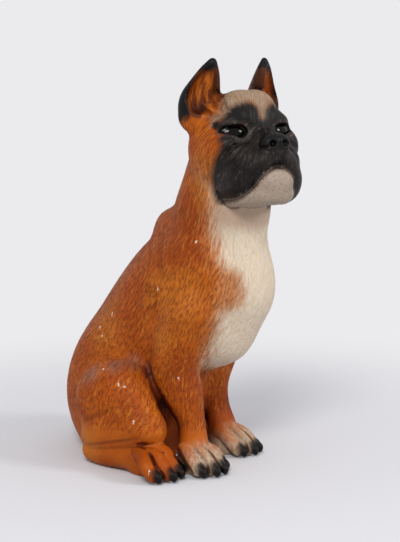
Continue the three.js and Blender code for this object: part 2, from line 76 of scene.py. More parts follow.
# The side of a cell of the first net over the clay, and the room that the net searches
COARSE_GRID = 1.8
ROOM_LOW = (-96, -112, -6)
ROOM_HIGH = (96, 112, 306)
# A distance past everything, and how far past its box a form can still matter
FAR_OFF = 1000.0
REACH = 8.0
# The bits that a cell's number has for each axis
CELL_BITS = 10
# What keeps a division from one by 0
TINY = 1e-9
# The faces that the finished surface keeps
MOST_TRIANGLES = 196_000
# How many threads measure the clay, and how many pieces of work each takes at a time
WORKERS = 4
AT_A_TIME = 8
# The sides of the lumps that the hair's scales are laid over, the points themselves last
LUMPS = (40.0, 15.0, 5.0, 0.0)
# The most rounds that levelling a scale takes, and how small its faults are when it is good enough
LEVEL_ROUNDS = 200
LEVEL_ENOUGH = 1e-9
# The matrix of no turn at all
UNTURNED = np.eye(3)


def turned(x: float = 0.0, y: float = 0.0, z: float = 0.0) -> Array:
    """Give the matrix of a turn about X, then Y, then Z.

    Args:
        x: Degrees about X.
        y: Degrees about Y.
        z: Degrees about Z.

    Returns:
        A 3 by 3 matrix.
    """
    ax, ay, az = (math.radians(a) for a in (x, y, z))
    about_x = np.array([[1, 0, 0], [0, math.cos(ax), -math.sin(ax)], [0, math.sin(ax), math.cos(ax)]])
    about_y = np.array([[math.cos(ay), 0, math.sin(ay)], [0, 1, 0], [-math.sin(ay), 0, math.cos(ay)]])
    about_z = np.array([[math.cos(az), -math.sin(az), 0], [math.sin(az), math.cos(az), 0], [0, 0, 1]])
    return about_z @ about_y @ about_x


def smooth_curve(points: Array, steps: int) -> Array:
    """Run a Catmull-Rom curve through points.

    Args:
        points: One row for each point, of any width.
        steps: Steps between two points.

    Returns:
        The rows along the curve, the first and last points among them.
    """
    if len(points) == 2:
        return points
    held = np.vstack([2 * points[0] - points[1], points, 2 * points[-1] - points[-2]])
    t = np.arange(steps)[:, None] / steps
    rows = []
    for a, b, c, d in zip(held, held[1:], held[2:], held[3:]):
        bend = (2 * a - 5 * b + 4 * c - d) * t**2 + (3 * b - 3 * c + d - a) * t**3
        rows.append(0.5 * (2 * b + (c - a) * t + bend))
    return np.vstack(rows + [points[-1:]])


def smooth_least(a: Array, b: Array, blend: float) -> Array:
    """Take the smaller of two distances, with the seam between them filled over the blend width."""
    near = np.maximum(blend - np.abs(a - b), 0)
    return np.minimum(a, b) - near * near / (4 * max(blend, 1e-6))


def ramp(value: Array, start: float, end: float) -> Array:
    """Rise smoothly from 0 where the value is start to 1 where it is end."""
    t = np.clip((value - start) / (end - start), 0, 1)
    return t * t * (3 - 2 * t)


def cell_of(points: Array, side: float) -> Array:
    """Number the cubic cells of space, and give the number of the one that each point lies in."""
    x, y, z = (np.floor(points / side).astype(np.int64) + (1 << CELL_BITS - 1)).T
    return (((x << CELL_BITS) + y) << CELL_BITS) + z


def within(points: Array, low: Array, high: Array) -> Array:
    """Give the numbers of the points that lie inside a box."""
    return np.flatnonzero(((points > low) & (points < high)).all(1))


def along_lines(points: Array, starts: Array, along: Array, length: Array) -> tuple[Array, Array]:
    """Find how far along each straight line each point lies, and how far from it.

    Args:
        points: The points.
        starts: Where each line starts.
        along: The step from its start to its end.
        length: The square of that step's length.

    Returns:
        The share of the way along, and the distance, one row for each point and one column for each line.
    """
    middle = points[0]
    points, starts = points - middle, starts - middle
    reach = points @ along.T - (starts * along).sum(1)
    t = np.clip(reach / length, 0, 1)
    apart = (points**2).sum(1)[:, None] - 2 * points @ starts.T + (starts**2).sum(1)
    return t, np.sqrt(np.maximum(apart + t * (t * length - 2 * reach), 0))


@dataclass(frozen=True)
class Place:
    """Where a form's own frame lies on the dog: a turn or mirror, and then a move."""

    matrix: Array = field(default_factory=lambda: UNTURNED)
    at: Array = field(default_factory=lambda: np.zeros(3))

    def put(self, points: Array) -> Array:
        """Move points from this frame to the dog's."""
        return points @ self.matrix.T + self.at

    def inside(self, points: Array) -> Array:
        """Move points from the dog's frame to this one."""
        return (points - self.at) @ self.matrix

    def then(self, inner: Place) -> Place:
        """Give the frame of something placed inside this frame."""
        return Place(self.matrix @ inner.matrix, self.put(np.asarray(inner.at, float)))


HERE = Place()
MIRRORED = Place(np.diag([-1.0, 1.0, 1.0]))
BOTH = (HERE, MIRRORED)


class Ball:
    """An egg with three half axes, turned in its place."""

    def __init__(self, centre: Point, radii: Point, turn: Array = UNTURNED, place: Place = HERE) -> None:
        """Set the egg.

        Args:
            centre: Its middle, in its place's frame.
            radii: Its half axes.
            turn: How it is turned in that frame.
            place: The frame.
        """
        own = place.then(Place(turn, np.asarray(centre, float)))
        self.matrix, self.centre = own.matrix, own.at
        self.radii = np.asarray(radii, float)
        half = np.abs(self.matrix) @ self.radii
        self.low, self.high = self.centre - half, self.centre + half

    def distance(self, points: Array) -> Array:
        """Give the distance of each point from the egg's surface, less than 0 inside.

        Args:
            points: The points.

        Returns:
            The distances.
        """
        scaled = (points - self.centre) @ self.matrix / self.radii
        reach = np.sqrt((scaled**2).sum(1))
        slope = np.sqrt(((scaled / self.radii) ** 2).sum(1))
        return reach * (reach - 1) / np.maximum(slope, 1e-6)


class Limb:
    """A rounded limb along a smooth line, each point of it with its own radius."""

    def __init__(
        self,
        points: Sequence[Point],
        radii: Sequence[float],
        steps: int = 8,
        squeeze: tuple[Point, float] | None = None,
        place: Place = HERE,
    ) -> None:
        """Set the limb.

        Args:
            points: The points of its line, in its place's frame.
            radii: The radius at each point.
            steps: Straight steps between two points.
            squeeze: An axis, and how many times thinner the section is along it.
            place: The frame.
        """
        rows = np.hstack([np.asarray(points, float), np.asarray(radii, float)[:, None]])
        line = smooth_curve(rows, steps)
        self.points, self.radii = place.put(line[:, :3]), line[:, 3]
        self.low = self.points.min(0) - self.radii.max()
        self.high = self.points.max(0) + self.radii.max()
        axis, self.by = squeeze if squeeze else ((0, 0, 0), 1.0)
        length = max(float(np.linalg.norm(axis)), TINY)
        self.axis = place.matrix @ (np.asarray(axis, float) / length)
        self.points = self.stretch(self.points)
        self.starts, self.along = self.points[:-1], np.diff(self.points, axis=0)
        self.length = np.maximum((self.along**2).sum(1), TINY)
        self.thick = np.maximum(self.radii[1:], self.radii[:-1])
        self.thin = np.minimum(self.radii[1:], self.radii[:-1])

    def stretch(self, points: Array) -> Array:
        """Stretch space along the squeezed axis, which makes the section round again."""
        return points + (points @ self.axis)[:, None] * self.axis * (self.by - 1)

    def distance(self, points: Array) -> Array:
        """Give the distance of each point from the limb's surface, less than 0 inside.

        Args:
            points: The points.

        Returns:
            The distances.
        """
        points = self.stretch(points) if self.by != 1 else points
        middle = 0.5 * (points.min(0) + points.max(0))
        spread = 0.5 * float(np.linalg.norm(points.max(0) - points.min(0)))
        share = np.clip(((middle - self.starts) * self.along).sum(1) / self.length, 0, 1)
        gap = np.sqrt(((middle - self.starts - share[:, None] * self.along) ** 2).sum(1))
        kept = np.flatnonzero(gap - self.thick <= (gap - self.thin).min() + 2 * spread)
        t, gone = along_lines(points, self.starts[kept], self.along[kept], self.length[kept])
        girth = self.radii[kept] + (self.radii[kept + 1] - self.radii[kept]) * t
        return (gone - girth).min(1) / (1 + 0.5 * (self.by - 1))


class Crease:
    """A groove pressed into the surface along a smooth line, or a ridge where its depth is below 0."""

    AT_ENDS = 0.15
    DEEPENS = 3.5

    def __init__(self, line: Array, width: float, depth: float) -> None:
        """Set the groove.

        Args:
            line: The points along its bottom, already on the surface.
            width: How far the surface gives way to either side.
            depth: How deep the groove is, in its middle.
        """
        self.line, self.width, self.depth = line, width, depth
        self.low, self.high = line.min(0) - width, line.max(0) + width
        along = np.linspace(0, 1, len(line))
        self.press = np.minimum(1, self.AT_ENDS + self.DEEPENS * np.minimum(along, 1 - along))

    def distance(self, points: Array) -> Array:
        """Give how much the groove lowers the surface at each point.

        Args:
            points: The points.

        Returns:
            How far the surface sinks there, or rises where that is below 0.
        """
        along = np.diff(self.line, axis=0)
        t, gone = along_lines(points, self.line[:-1], along, np.maximum((along**2).sum(1), TINY))
        nearest = gone.argmin(1)
        rows = np.arange(len(points))
        press = self.press[nearest] + np.diff(self.press)[nearest] * t[rows, nearest]
        return self.depth * press * np.clip(1 - (gone[rows, nearest] / self.width) ** 2, 0, 1) ** 2


class Ground:
    """The ground that the figure stands on, which everything below it is cut off at."""

    def __init__(self, level: float) -> None:
        """Set the height of the ground."""
        self.level = level
        self.low = np.array([-FAR_OFF, -FAR_OFF, -FAR_OFF])
        self.high = np.array([FAR_OFF, FAR_OFF, level])

    def distance(self, points: Array) -> Array:
        """Give the height of each point above the ground."""
        return points[:, 2] - self.level


class Act(Enum):
    """What a step does to the clay."""

    ADD = "add"
    CUT = "cut"
    PRESS = "press"


Form = Ball | Limb | Crease | Ground
Step = tuple[Act, Form, float]


class Clay:
    """Clay that forms are added to, cut from and pressed into, one after another."""

    CELL = 11.0
    LINE_STEPS = 6
    LINE_ROUNDS = 4
    FEELERS = 0.35
    LEAST_SLOPE = 0.05
    LONGEST_STEP = 1.5

    def __init__(self) -> None:
        """Start with no clay."""
        self.steps: list[Step] = []
        self.lows = self.highs = np.zeros((0, 3))

    def add(self, form: Form, blend: float) -> None:
        """Add a form, with its seam filled over the blend width."""
        self.steps.append((Act.ADD, form, blend))

    def cut(self, form: Form, blend: float) -> None:
        """Cut a form away, with its rim rounded over the blend width."""
        self.steps.append((Act.CUT, form, blend))

    def press(self, lines: Iterable[Array], width: float, depth: float, place: Place = HERE) -> None:
        """Press grooves into the surface.

        Args:
            lines: The points of each groove, near the surface.
            width: How far the surface gives way to either side.
            depth: The depth in the middle, or less than 0 for a ridge.
            place: The frame that the points are in.
        """
        placed = [smooth_curve(place.put(np.asarray(line, float)), self.LINE_STEPS) for line in lines]
        found = [self.settle(line, self.LINE_ROUNDS) for line in placed]
        self.steps += [(Act.PRESS, Crease(line, width, depth), 0.0) for line in found]

    def close_by(self, low: Array, high: Array) -> list[Step]:
        """Give the steps that can matter inside a box.

        Args:
            low: The box's lowest corner.
            high: Its highest corner.

        Returns:
            The steps, in their order.
        """
        if len(self.lows) != len(self.steps):
            self.lows = np.array([form.low - blend - REACH for _, form, blend in self.steps])
            self.highs = np.array([form.high + blend + REACH for _, form, blend in self.steps])
        near = (high > self.lows).all(1) & (low < self.highs).all(1)
        return [self.steps[i] for i in np.flatnonzero(near)]

    def measure(self, points: Array, steps: list[Step]) -> Array:
        """Give the distance of points that lie close together.

        Args:
            points: The points.
            steps: The steps that can matter there.

        Returns:
            Their distances from the surface, less than 0 inside.
        """
        d = np.full(len(points), FAR_OFF)
        for act, form, blend in steps:
            there = form.distance(points)
            if act is Act.ADD:
                d = smooth_least(d, there, blend)
            elif act is Act.CUT:
                d = -smooth_least(-d, there, blend)
            else:
                d = d + there
        return d

    def distance(self, points: Array) -> Array:
        """Give the distance of any points from the surface, cell by cell, less than 0 inside.

        Args:
            points: The points.

        Returns:
            The distances.
        """
        keys = cell_of(points, self.CELL)
        order = np.argsort(keys, kind="stable")
        breaks = np.flatnonzero(np.diff(keys[order])) + 1
        d = np.empty(len(points))
        self.close_by(points[0], points[0])

        def fill(run: Array) -> None:
            """Measure the points of one cell."""
            group = points[run]
            d[run] = self.measure(group, self.close_by(group.min(0), group.max(0)))

        with ThreadPoolExecutor(WORKERS) as pool:
            list(pool.map(fill, np.split(order, breaks), chunksize=AT_A_TIME))
        return d

    def slope(self, points: Array) -> tuple[Array, Array]:
        """Give the distance and its gradient, from four points around each point.

        Args:
            points: The points.

        Returns:
            The distances and the gradients.
        """
        corners = np.array([[1, -1, -1], [-1, -1, 1], [-1, 1, -1], [1, 1, 1]], float)
        around = (points[:, None] + corners[None] * self.FEELERS).reshape(-1, 3)
        d = self.distance(around).reshape(-1, 4)
        return d.mean(1), d @ corners / (4 * self.FEELERS)

    def settle(self, points: Array, rounds: int = 2) -> Array:
        """Move points onto the surface, by steps down the slope of the distance.

        Args:
            points: The points.
            rounds: How many steps each takes.

        Returns:
            The moved points.
        """
        for _ in range(rounds):
            d, slope = self.slope(points)
            step = d / np.maximum((slope**2).sum(1), self.LEAST_SLOPE)
            points = points - np.clip(step, -self.LONGEST_STEP, self.LONGEST_STEP)[:, None] * slope
        return points


class SurfaceNet:
    """A net of quads over the surface of clay."""

    BLOCK = 10
    SURE = 1.5

    def __init__(self, clay: Clay, cell: float, low: Point, high: Point) -> None:
        """Measure the clay on a grid.

        Args:
            clay: The clay.
            cell: The side of a cell of the grid.
            low: The lowest corner of the room to search.
            high: Its highest corner.
        """
        self.cell, self.low = cell, np.asarray(low, float)
        blocks = np.ceil((np.asarray(high) - self.low) / (cell * self.BLOCK)).astype(int)
        self.values = np.full(blocks * self.BLOCK + 1, FAR_OFF, np.float32)
        lattice = np.stack(np.meshgrid(*[np.arange(self.BLOCK + 1)] * 3, indexing="ij"), -1).reshape(-1, 3)
        corners = np.stack(np.meshgrid(*[np.arange(n) for n in blocks], indexing="ij"), -1).reshape(-1, 3)
        half = self.BLOCK * cell * math.sqrt(3) / 2
        clay.close_by(self.low, self.low)

        def fill(corner: Array) -> None:
            """Measure the block of the grid that starts at a corner."""
            start = self.low + corner * cell
            steps = clay.close_by(start, start + self.BLOCK * cell)
            if not steps:
                return
            room = tuple(slice(c, c + self.BLOCK + 1) for c in corner)
            middle = clay.measure(start[None] + self.BLOCK * cell / 2, steps)[0]
            if abs(middle) > self.SURE * half:
                self.values[room] = middle
                return
            d = clay.measure(start + lattice * cell, steps)
            self.values[room] = d.reshape([self.BLOCK + 1] * 3)

        with ThreadPoolExecutor(WORKERS) as pool:
            list(pool.map(fill, corners * self.BLOCK, chunksize=AT_A_TIME))

    def corners_and_quads(self) -> tuple[Array, Array]:
        """Give the net's points and its quads, which face outwards.

        Returns:
            The points, and the quads as rows of four indices.
        """
        values, inside = self.values, self.values < 0
        size = np.array(values.shape) - 1
        offsets = np.array([[(c >> 2) & 1, (c >> 1) & 1, c & 1] for c in range(8)])
        filled = sum(
            inside[i : size[0] + i, j : size[1] + j, k : size[2] + k].astype(np.uint8) for i, j, k in offsets
        )
        cells = np.argwhere((filled > 0) & (filled < 8))
        index = np.full(size, -1, np.int64)
        index[tuple(cells.T)] = np.arange(len(cells))
        total, count = np.zeros((len(cells), 3)), np.zeros(len(cells))
        for offset in offsets:
            for axis in np.flatnonzero(offset == 0):
                other = offset.copy()
                other[axis] = 1
                a, b = values[tuple((cells + offset).T)], values[tuple((cells + other).T)]
                crossed = (a < 0) != (b < 0)
                spot = np.repeat(offset[None].astype(float), len(cells), 0)
                spot[:, axis] = np.where(crossed, a / np.where(crossed, a - b, 1), 0)
                total += spot * crossed[:, None]
                count += crossed
        points = self.low + (cells + total / count[:, None]) * self.cell
        quads = [self._quads_across(axis, inside, index) for axis in range(3)]
        return points, np.vstack(quads)

    def _quads_across(self, axis: int, inside: Array, index: Array) -> Array:
        """Give the quads that cross the grid's edges along one axis.

        Args:
            axis: The axis.
            inside: Whether each point of the grid lies inside the clay.
            index: The number of the net's point in each cell.

        Returns:
            The quads, as rows of four indices.
        """
        u, v = (axis + 1) % 3, (axis + 2) % 3
        here = [slice(1, n - 1) for n in inside.shape]
        there = list(here)
        here[axis], there[axis] = slice(0, inside.shape[axis] - 1), slice(1, inside.shape[axis])
        a, b = inside[tuple(here)], inside[tuple(there)]
        edges = np.argwhere(a != b)
        turn_round = ~a[tuple(edges.T)]
        edges[:, [u, v]] += 1
        ring = []
        for du, dv in ((1, 1), (0, 1), (0, 0), (1, 0)):
            cell = edges.copy()
            cell[:, u] -= du
            cell[:, v] -= dv
            ring.append(index[tuple(cell.T)])
        quads = np.stack(ring, 1)
        quads[turn_round] = quads[turn_round][:, ::-1]
        return quads[(quads >= 0).all(1)]


class Side(Enum):
    """One of the dog's two sides."""

    RIGHT = "right"
    LEFT = "left"


@dataclass(frozen=True)
class Foreleg:
    """How a foreleg stands: its place across and ahead, its lean, and its paw's place, reach and turn."""

    x: float
    paw_x: float
    ahead: float
    lean: float
    reach: float
    turn: float


@dataclass(frozen=True)
class Stance:
    """How the dog sits: the sizes that its forms share, in millimetres and degrees."""

    head_at: Point = (-12.5, -66.6, 247.6)
    head_pitch: float = -17.0
    head_yaw: float = -28.0
    right_foreleg: Foreleg = Foreleg(-30.0, -35.0, -3.0, 0.0, 27.0, -8)
    left_foreleg: Foreleg = Foreleg(26.0, 23.0, 7.0, 3.0, 30.0, 8)
    left_hind_back: Point = (-4.0, 30.0, 0.0)

    def foreleg(self, side: Side) -> Foreleg:
        """Tell how one foreleg stands."""
        return self.right_foreleg if side is Side.RIGHT else self.left_foreleg

    def head(self) -> Place:
        """Give the head's frame, with its origin between the eyes."""
        return Place(turned(z=self.head_yaw) @ turned(x=self.head_pitch), np.array(self.head_at))

    def head_sides(self) -> tuple[Place, Place]:
        """Give the head's frame and the same frame mirrored."""
        return tuple(self.head().then(side) for side in BOTH)

    def hind(self, side: Side, share: float = 1.0) -> Place:
        """Give the frame of a hind leg, the left one drawn back by a share of its full shift.

        Args:
            side: The leg's side.
            share: The share of the shift.

        Returns:
            The frame.
        """
        if side is Side.RIGHT:
            return MIRRORED
        return Place(at=np.array(self.left_hind_back) * share)


@dataclass
class Trunk:
    """The body and neck, with the muscles of chest, shoulder and withers."""

    stance: Stance

    SPINE = ((0, 46, 14), (0, 48, 44), (0, 30, 84), (0, 3, 120), (0, -19, 156), (0, -31, 190), (0, -37, 222))
    GIRTH = (42, 56, 50, 49.5, 38.5, 36, 31)
    BOSS_ANGLES = np.linspace(0.2, 5.6, 10)
    BOSS_RADIUS = 5.4
    BOSS_AT = (44.6, 4.6, 123.4)

    def model(self, clay: Clay) -> None:
        """Add the trunk to the clay.

        Args:
            clay: The figure's clay.
        """
        clay.add(Limb(self.SPINE, self.GIRTH, 9, ((1, 0, 0), 1.22)), 10)
        clay.add(Ball((0, -47, 132), (25, 24, 33), turned(5)), 18)
        clay.add(Ball((0, -30, 100), (24, 24, 26)), 14)
        for side in BOTH:
            clay.add(Ball((26, -18, 132), (16, 30, 40), turned(18), side), 12)
        for side in BOTH:
            clay.add(Ball((8, 10, 172), (10, 12, 15), turned(10), side), 8)
            clay.add(Ball((37, 6, 123), (7, 8, 8), place=side), 6)
        hollow = ((55, 10, 86), (52, -1, 70), (49, -6, 56), (47, -8, 42), (46, -8, 28), (45, -7, 14))
        for side in BOTH:
            clay.cut(Limb(hollow, (3, 7, 10, 12, 13, 12), place=side), 5)

    def crease(self, clay: Clay) -> None:
        """Press the lines between the muscles into the clay.

        Args:
            clay: The figure's clay.
        """
        behind_shoulder = ((20, 10, 172), (30, 4, 161), (38, 0, 150), (42, -7, 140))
        elbow = ((47, -4, 128), (44, 4, 130), (38, 12, 129))
        above_elbow = ((47, -3, 133), (44, 6, 135), (37, 14, 134))
        x, y, z = self.BOSS_AT
        around = [(math.cos(angle), math.sin(angle)) for angle in self.BOSS_ANGLES]
        boss = [(x + 0.4 * c, y + self.BOSS_RADIUS * c, z + self.BOSS_RADIUS * s) for c, s in around]
        crescent = ((44, -3, 129), (42.2, 5.3, 130.5), (38, 12, 128))
        tendon = ((60, 48, 33), (67.2, 40.2, 37.3), (69.3, 28.7, 43), (69, 20, 47))
        under_shin = ((62.6, 49.3, 15.3), (69, 31, 19.5), (70.7, 12.8, 24), (67.5, -3, 28.5))
        for place in BOTH:
            clay.press([behind_shoulder], 4.0, 2.5, place)
            clay.press([elbow, above_elbow], 2.2, 1.0, place)
            clay.press([boss, crescent], 1.9, 0.9, place)
        for side in Side:
            for line in (tendon, under_shin):
                clay.press([line], 2.3, 1.5, self.stance.hind(side, 0.6))


@dataclass
class Paws:
    """A paw's pad, toes and claws."""

    claws: Clay = field(default_factory=Clay)
    slots: list[Array] = field(default_factory=list)

    def model(
        self, clay: Clay, place: Place, pad: Point, toes: Sequence[Point], slot: Sequence[tuple[float, float]]
    ) -> None:
        """Add one paw to the clay.

        Args:
            clay: The clay.
            place: The frame of the paw, on the ground below its wrist.
            pad: How far out the middle of its pad lies, and the pad's half axes.
            toes: For each toe, x at its root, x at its tip, y at its tip, and its radius.
            slot: For each point of a slot between two toes, how far behind their tips and how high it is.
        """
        middle, *pad_radii = pad
        clay.add(Ball((middle, 3, 6), pad_radii, place=place), 6)
        for root, tip, front, radius in toes:
            knuckle = (0.5 * (root + tip), front + 12.5, 15.5)
            toe = ((root, 6, 17.5), knuckle, (tip, front + 5.5, 11.5), (tip, front, 6))
            clay.add(Limb(toe, (5, radius + 0.3, radius + 0.3, radius), place=place), 0.8)
            nib = front - radius
            claw_line = ((tip, nib + 3, 7.6), (tip, nib, 5.3), (tip, nib - 0.4, 2.9))
            claw = Limb(claw_line, (2.6, 2.9, 2.1), 4, place=place)
            clay.add(claw, 1)
            self.claws.add(claw, 0.1)
        for (root, tip, front, _), (next_root, next_tip, next_front, _) in zip(toes, toes[1:]):
            x, y = 0.5 * (tip + next_tip), 0.5 * (front + next_front)
            line = np.array([(x, y + back, height) for back, height in slot], float)
            line[0, 0] = 0.4 * (root + next_root) + 0.2 * x
            self.slots.append(place.put(line))


@dataclass
class Legs:
    """The four legs and their paws."""

    stance: Stance
    paws: Paws = field(default_factory=Paws)

    FORE_PAD = (0, 13, 13, 10)
    HIND_PAD = (-8.5, 11.5, 15, 11)
    FORE_SLOT = ((14, 21), (8, 18.5), (2.5, 14.5), (-2, 9.5), (-3, 4))
    HIND_SLOT = ((13, 17), (8, 12.5), (1, 5))
    FORE_TOES = ((-7, -12.8, -12.5, 4.7), (-2.4, -4.4, -18, 4.9), (2.4, 4.4, -18, 4.9), (7, 12.8, -12.5, 4.7))
    HIND_TOES = ((-13, -15.5, -16, 4.8), (-8.5, -6.2, -21.5, 5.1), (-4, 3.4, -21.5, 5.1), (0, 12.8, -15, 4.8))

    def forepaw(self, side: Side) -> Place:
        """Give the frame of a forepaw, turned out a little."""
        leg = self.stance.foreleg(side)
        return Place(turned(z=leg.turn), np.array((leg.paw_x, leg.ahead - leg.reach, 0)))

    def hindpaw(self, side: Side) -> Place:
        """Give the frame of a hind paw."""
        return self.stance.hind(side).then(Place(at=np.array((66, -6, 0))))

    def thigh(self, side: Side) -> Ball:
        """Give the folded thigh of a hind leg."""
        return Ball((42.5, 31, 50), (25, 31, 29), place=self.stance.hind(side, 0.4))

    def model(self, clay: Clay) -> None:
        """Add the legs to the clay.

        Args:
            clay: The figure's clay.
        """
        for side in Side:
            leg = self.stance.foreleg(side)
            shoulder = 0.3 * leg.ahead
            bones = (
                (leg.x * 1.1, shoulder - 22 - leg.lean, 116),
                (leg.x, shoulder - 8 - 0.5 * leg.lean, 76),
                (leg.x, leg.ahead - 13 + 0.6 * leg.lean, 53),
                (leg.x, leg.ahead - 19 + leg.lean, 35),
                ((leg.x + leg.paw_x) / 2, leg.ahead - 23, 18),
            )
            clay.add(Limb(bones, (19, 18, 14, 10.3, 11), 12), 7)
            self.paws.model(clay, self.forepaw(side), self.FORE_PAD, self.FORE_TOES, self.FORE_SLOT)
        for side in (Side.LEFT, Side.RIGHT):
            half, most = self.stance.hind(side, 0.5), self.stance.hind(side, 0.8)
            clay.add(self.thigh(side), 5)
            clay.add(Ball((44, 38, 44), (23, 28, 27), place=half), 12)
            clay.add(Ball((54, 9, 37), (15, 16, 20), place=most), 10)
            shin = ((55, -2, 31), (58, 18, 28), (57, 38, 23), (52, 50, 19))
            clay.add(Limb(shin, (13, 13.5, 12, 9.5), place=half), 8)
            foot = ((52, 48, 9.5), (56, 34, 9.5), (58, 14, 11.5), (58, -4, 13))
            clay.add(Limb(foot, (10, 10, 10.5, 11), place=half), 2)
            clay.add(Ball((57, -9, 13), (10.5, 15, 10.5), place=self.stance.hind(side)), 4)
            self.paws.model(clay, self.hindpaw(side), self.HIND_PAD, self.HIND_TOES, self.HIND_SLOT)

    def crease(self, clay: Clay) -> None:
        """Press the slots between the toes into the clay."""
        clay.press(self.paws.slots, 1.9, 1.3)


@dataclass
class Head:
    """The head, in its own frame: skull, muzzle, nose, jaw, eyes and ears."""

    stance: Stance

    LIP = (
        (4, -17.5, -21.5),
        (10.5, -15, -27.5),
        (16, -8.5, -36),
        (19, 1, -42.5),
        (20.5, 11, -44.5),
        (20.5, 18, -44),
    )
    LIP_GIRTH = (6, 7, 7.5, 7.5, 7.2, 6.5)
    LIP_RISE = (0, 0.25, 0.8, 1, 1.15, 1.1)
    LIP_RAISED = {Side.LEFT: 0.5, Side.RIGHT: 6.3}
    EYE = (18, 9.2, -0.6)
    EYE_RADII = (13.5, 10.6, 9.6)
    EYE_TURN = 22
    EAR = ((27.5, 32.5, 20), (26.8, 29, 28), (25.3, 22.5, 36), (23.5, 15.5, 45), (21.8, 10.5, 52.8))
    EAR_GIRTH = (14, 14.5, 11.8, 7.8, 3.2)
    EAR_CUP = ((27.2, 30.5, 25.5), (27, 28, 30), (25.4, 22, 36.5), (23.6, 15.5, 44.5), (22.3, 12, 49.5))
    EAR_CUP_GIRTH = (7.6, 9, 8, 5.2, 1.8)
    EAR_MOUTH = ((25.5, 18, 27), (22, 12.5, 21), (19.5, 7, 15))
    EAR_FACING = np.array((0.4, -0.91, 0.1)) / np.linalg.norm((0.4, -0.91, 0.1))
    EAR_CUP_AHEAD = 6.5

    def __post_init__(self) -> None:
        """Keep the clays of the parts that are painted apart."""
        self.place = self.stance.head()
        self.sides = self.stance.head_sides()
        self.nose_clay, self.lip_clay, self.jaw_clay = Clay(), Clay(), Clay()

    def model(self, clay: Clay) -> None:
        """Add the head to the clay, part by part."""
        for part in (self.skull, self.muzzle, self.nose, self.jaw, self.eyes, self.ears):
            part(clay)

    def skull(self, clay: Clay) -> None:
        """Add the skull, brows and cheeks.

        Args:
            clay: The figure's clay.
        """
        clay.add(Ball((0, 24, 5), (28, 32, 29), place=self.place), 12)
        for centre, radii, turn, blend in (
            ((8, 8, 17), (11, 12, 13), UNTURNED, 8),
            ((21, 19, -12), (16, 23, 23), UNTURNED, 10),
            ((22, 33, -5), (12.5, 14, 19), UNTURNED, 10),
            ((15.5, 2.5, 8.5), (11.5, 7, 5.5), turned(y=12), 6),
            ((25.5, 12, -9), (8, 14, 8), UNTURNED, 8),
        ):
            for side in self.sides:
                clay.add(Ball(centre, radii, turn, side), blend)

    def muzzle(self, clay: Clay) -> None:
        """Add the short muzzle, with the upper lips that hang over the jaw.

        Args:
            clay: The figure's clay.
        """
        forms: list[tuple[Form, float]] = [
            (Ball((0, 0, -22), (18, 18, 17), place=self.place), 7),
            (Limb(((0, 5, -6), (0, -8, -10), (0, -18, -13)), (10, 9, 7.5), place=self.place), 5),
        ]
        forms += [(Ball((14, -3, -23), (12, 14, 12), place=side), 5) for side in self.sides]
        for up, side in zip(self.LIP_RAISED.values(), self.sides):
            lip = [(x, y, z + up * share) for (x, y, z), share in zip(self.LIP, self.LIP_RISE)]
            forms.append((Limb(lip, self.LIP_GIRTH, place=side), 4))
            forms.append((Ball((18.5, 7, -33 + 0.7 * up), (10.5, 17, 16 - 0.3 * up), place=side), 6))
        for form, blend in forms:
            clay.add(form, blend)
            self.lip_clay.add(form, blend)

    def nose(self, clay: Clay) -> None:
        """Add the nose, with its nostrils and the groove below it.

        Args:
            clay: The figure's clay.
        """
        tip = Ball((0, -18.5, -14), (10.5, 7, 6.2), place=self.place)
        wings = [Ball((5.6, -20.6, -14.6), (4.9, 4.6, 5.6), place=side) for side in self.sides]
        for form, blend in [(tip, 2.5)] + [(wing, 3.5) for wing in wings]:
            clay.add(form, blend)
            self.nose_clay.add(form, blend)
        for side in self.sides:
            clay.cut(Ball((5.2, -25.8, -15), (2.5, 4.2, 2.3), turned(z=20), side), 0.8)
        slit = ((6, -25.2, -16), (9, -23.6, -17.4), (11, -19.5, -16.5))
        for side in self.sides:
            clay.cut(Limb(slit, (1.1, 1, 0.9), place=side), 0.8)
        clay.cut(Limb(((0, -26.6, -15.5), (0, -26, -20), (0, -24.6, -27)), (1, 1, 1), place=self.place), 1.5)

    def jaw(self, clay: Clay) -> None:
        """Add the lower jaw and chin.

        Args:
            clay: The figure's clay.
        """
        forms: list[tuple[Form, float]] = [(Ball((0, 12, -39), (19, 22, 11.5), place=self.place), 5)]
        rim = ((0, -8, -45), (8, -6, -46), (14, 5, -45.5), (17.5, 18, -43.5))
        forms += [(Limb(rim, (9.6, 8.6, 7.4, 6.5), place=side), 2) for side in self.sides]
        forms.append((Limb(((-3.5, -10.4, -38.8), (3.5, -10.4, -38.8)), (11, 11), place=self.place), 2))
        for form, blend in forms:
            clay.add(form, blend)
            self.jaw_clay.add(form, blend)

    def eyeball(self, side: Place) -> Ball:
        """Give an eyeball."""
        return Ball(self.EYE, self.EYE_RADII, turned(z=self.EYE_TURN), side)

    def eyes(self, clay: Clay) -> None:
        """Add each eye: a socket, the ball in it, and the two lids.

        Args:
            clay: The figure's clay.
        """
        for side in self.sides:
            clay.cut(Ball((19.9, 1.8, -0.5), (10.8, 5.6, 6.8), turned(z=25), side), 1.2)
        for side in self.sides:
            clay.add(self.eyeball(side), 0.3)
        upper = ((8.4, -1.6, -3), (12.4, -1.6, 4.4), (19.5, 0.4, 7.6), (26.3, 3.4, 5), (30.5, 7.4, -2))
        lower = ((8.4, -1.6, -3), (13, -1.6, -7.2), (19.5, 0.2, -8.7), (25.8, 3.6, -7), (30.5, 7.4, -2))
        for side in self.sides:
            clay.add(Limb(upper, (1, 1.9, 2.2, 1.9, 1), place=side), 1.5)
            clay.add(Limb(lower, (1, 1.5, 1.8, 1.5, 1), place=side), 1.5)

    def ear_shell(self, side: Place) -> Limb:
        """Give the outside of an ear."""
        return Limb(self.EAR, self.EAR_GIRTH, 9, (self.EAR_FACING, 1.5), side)

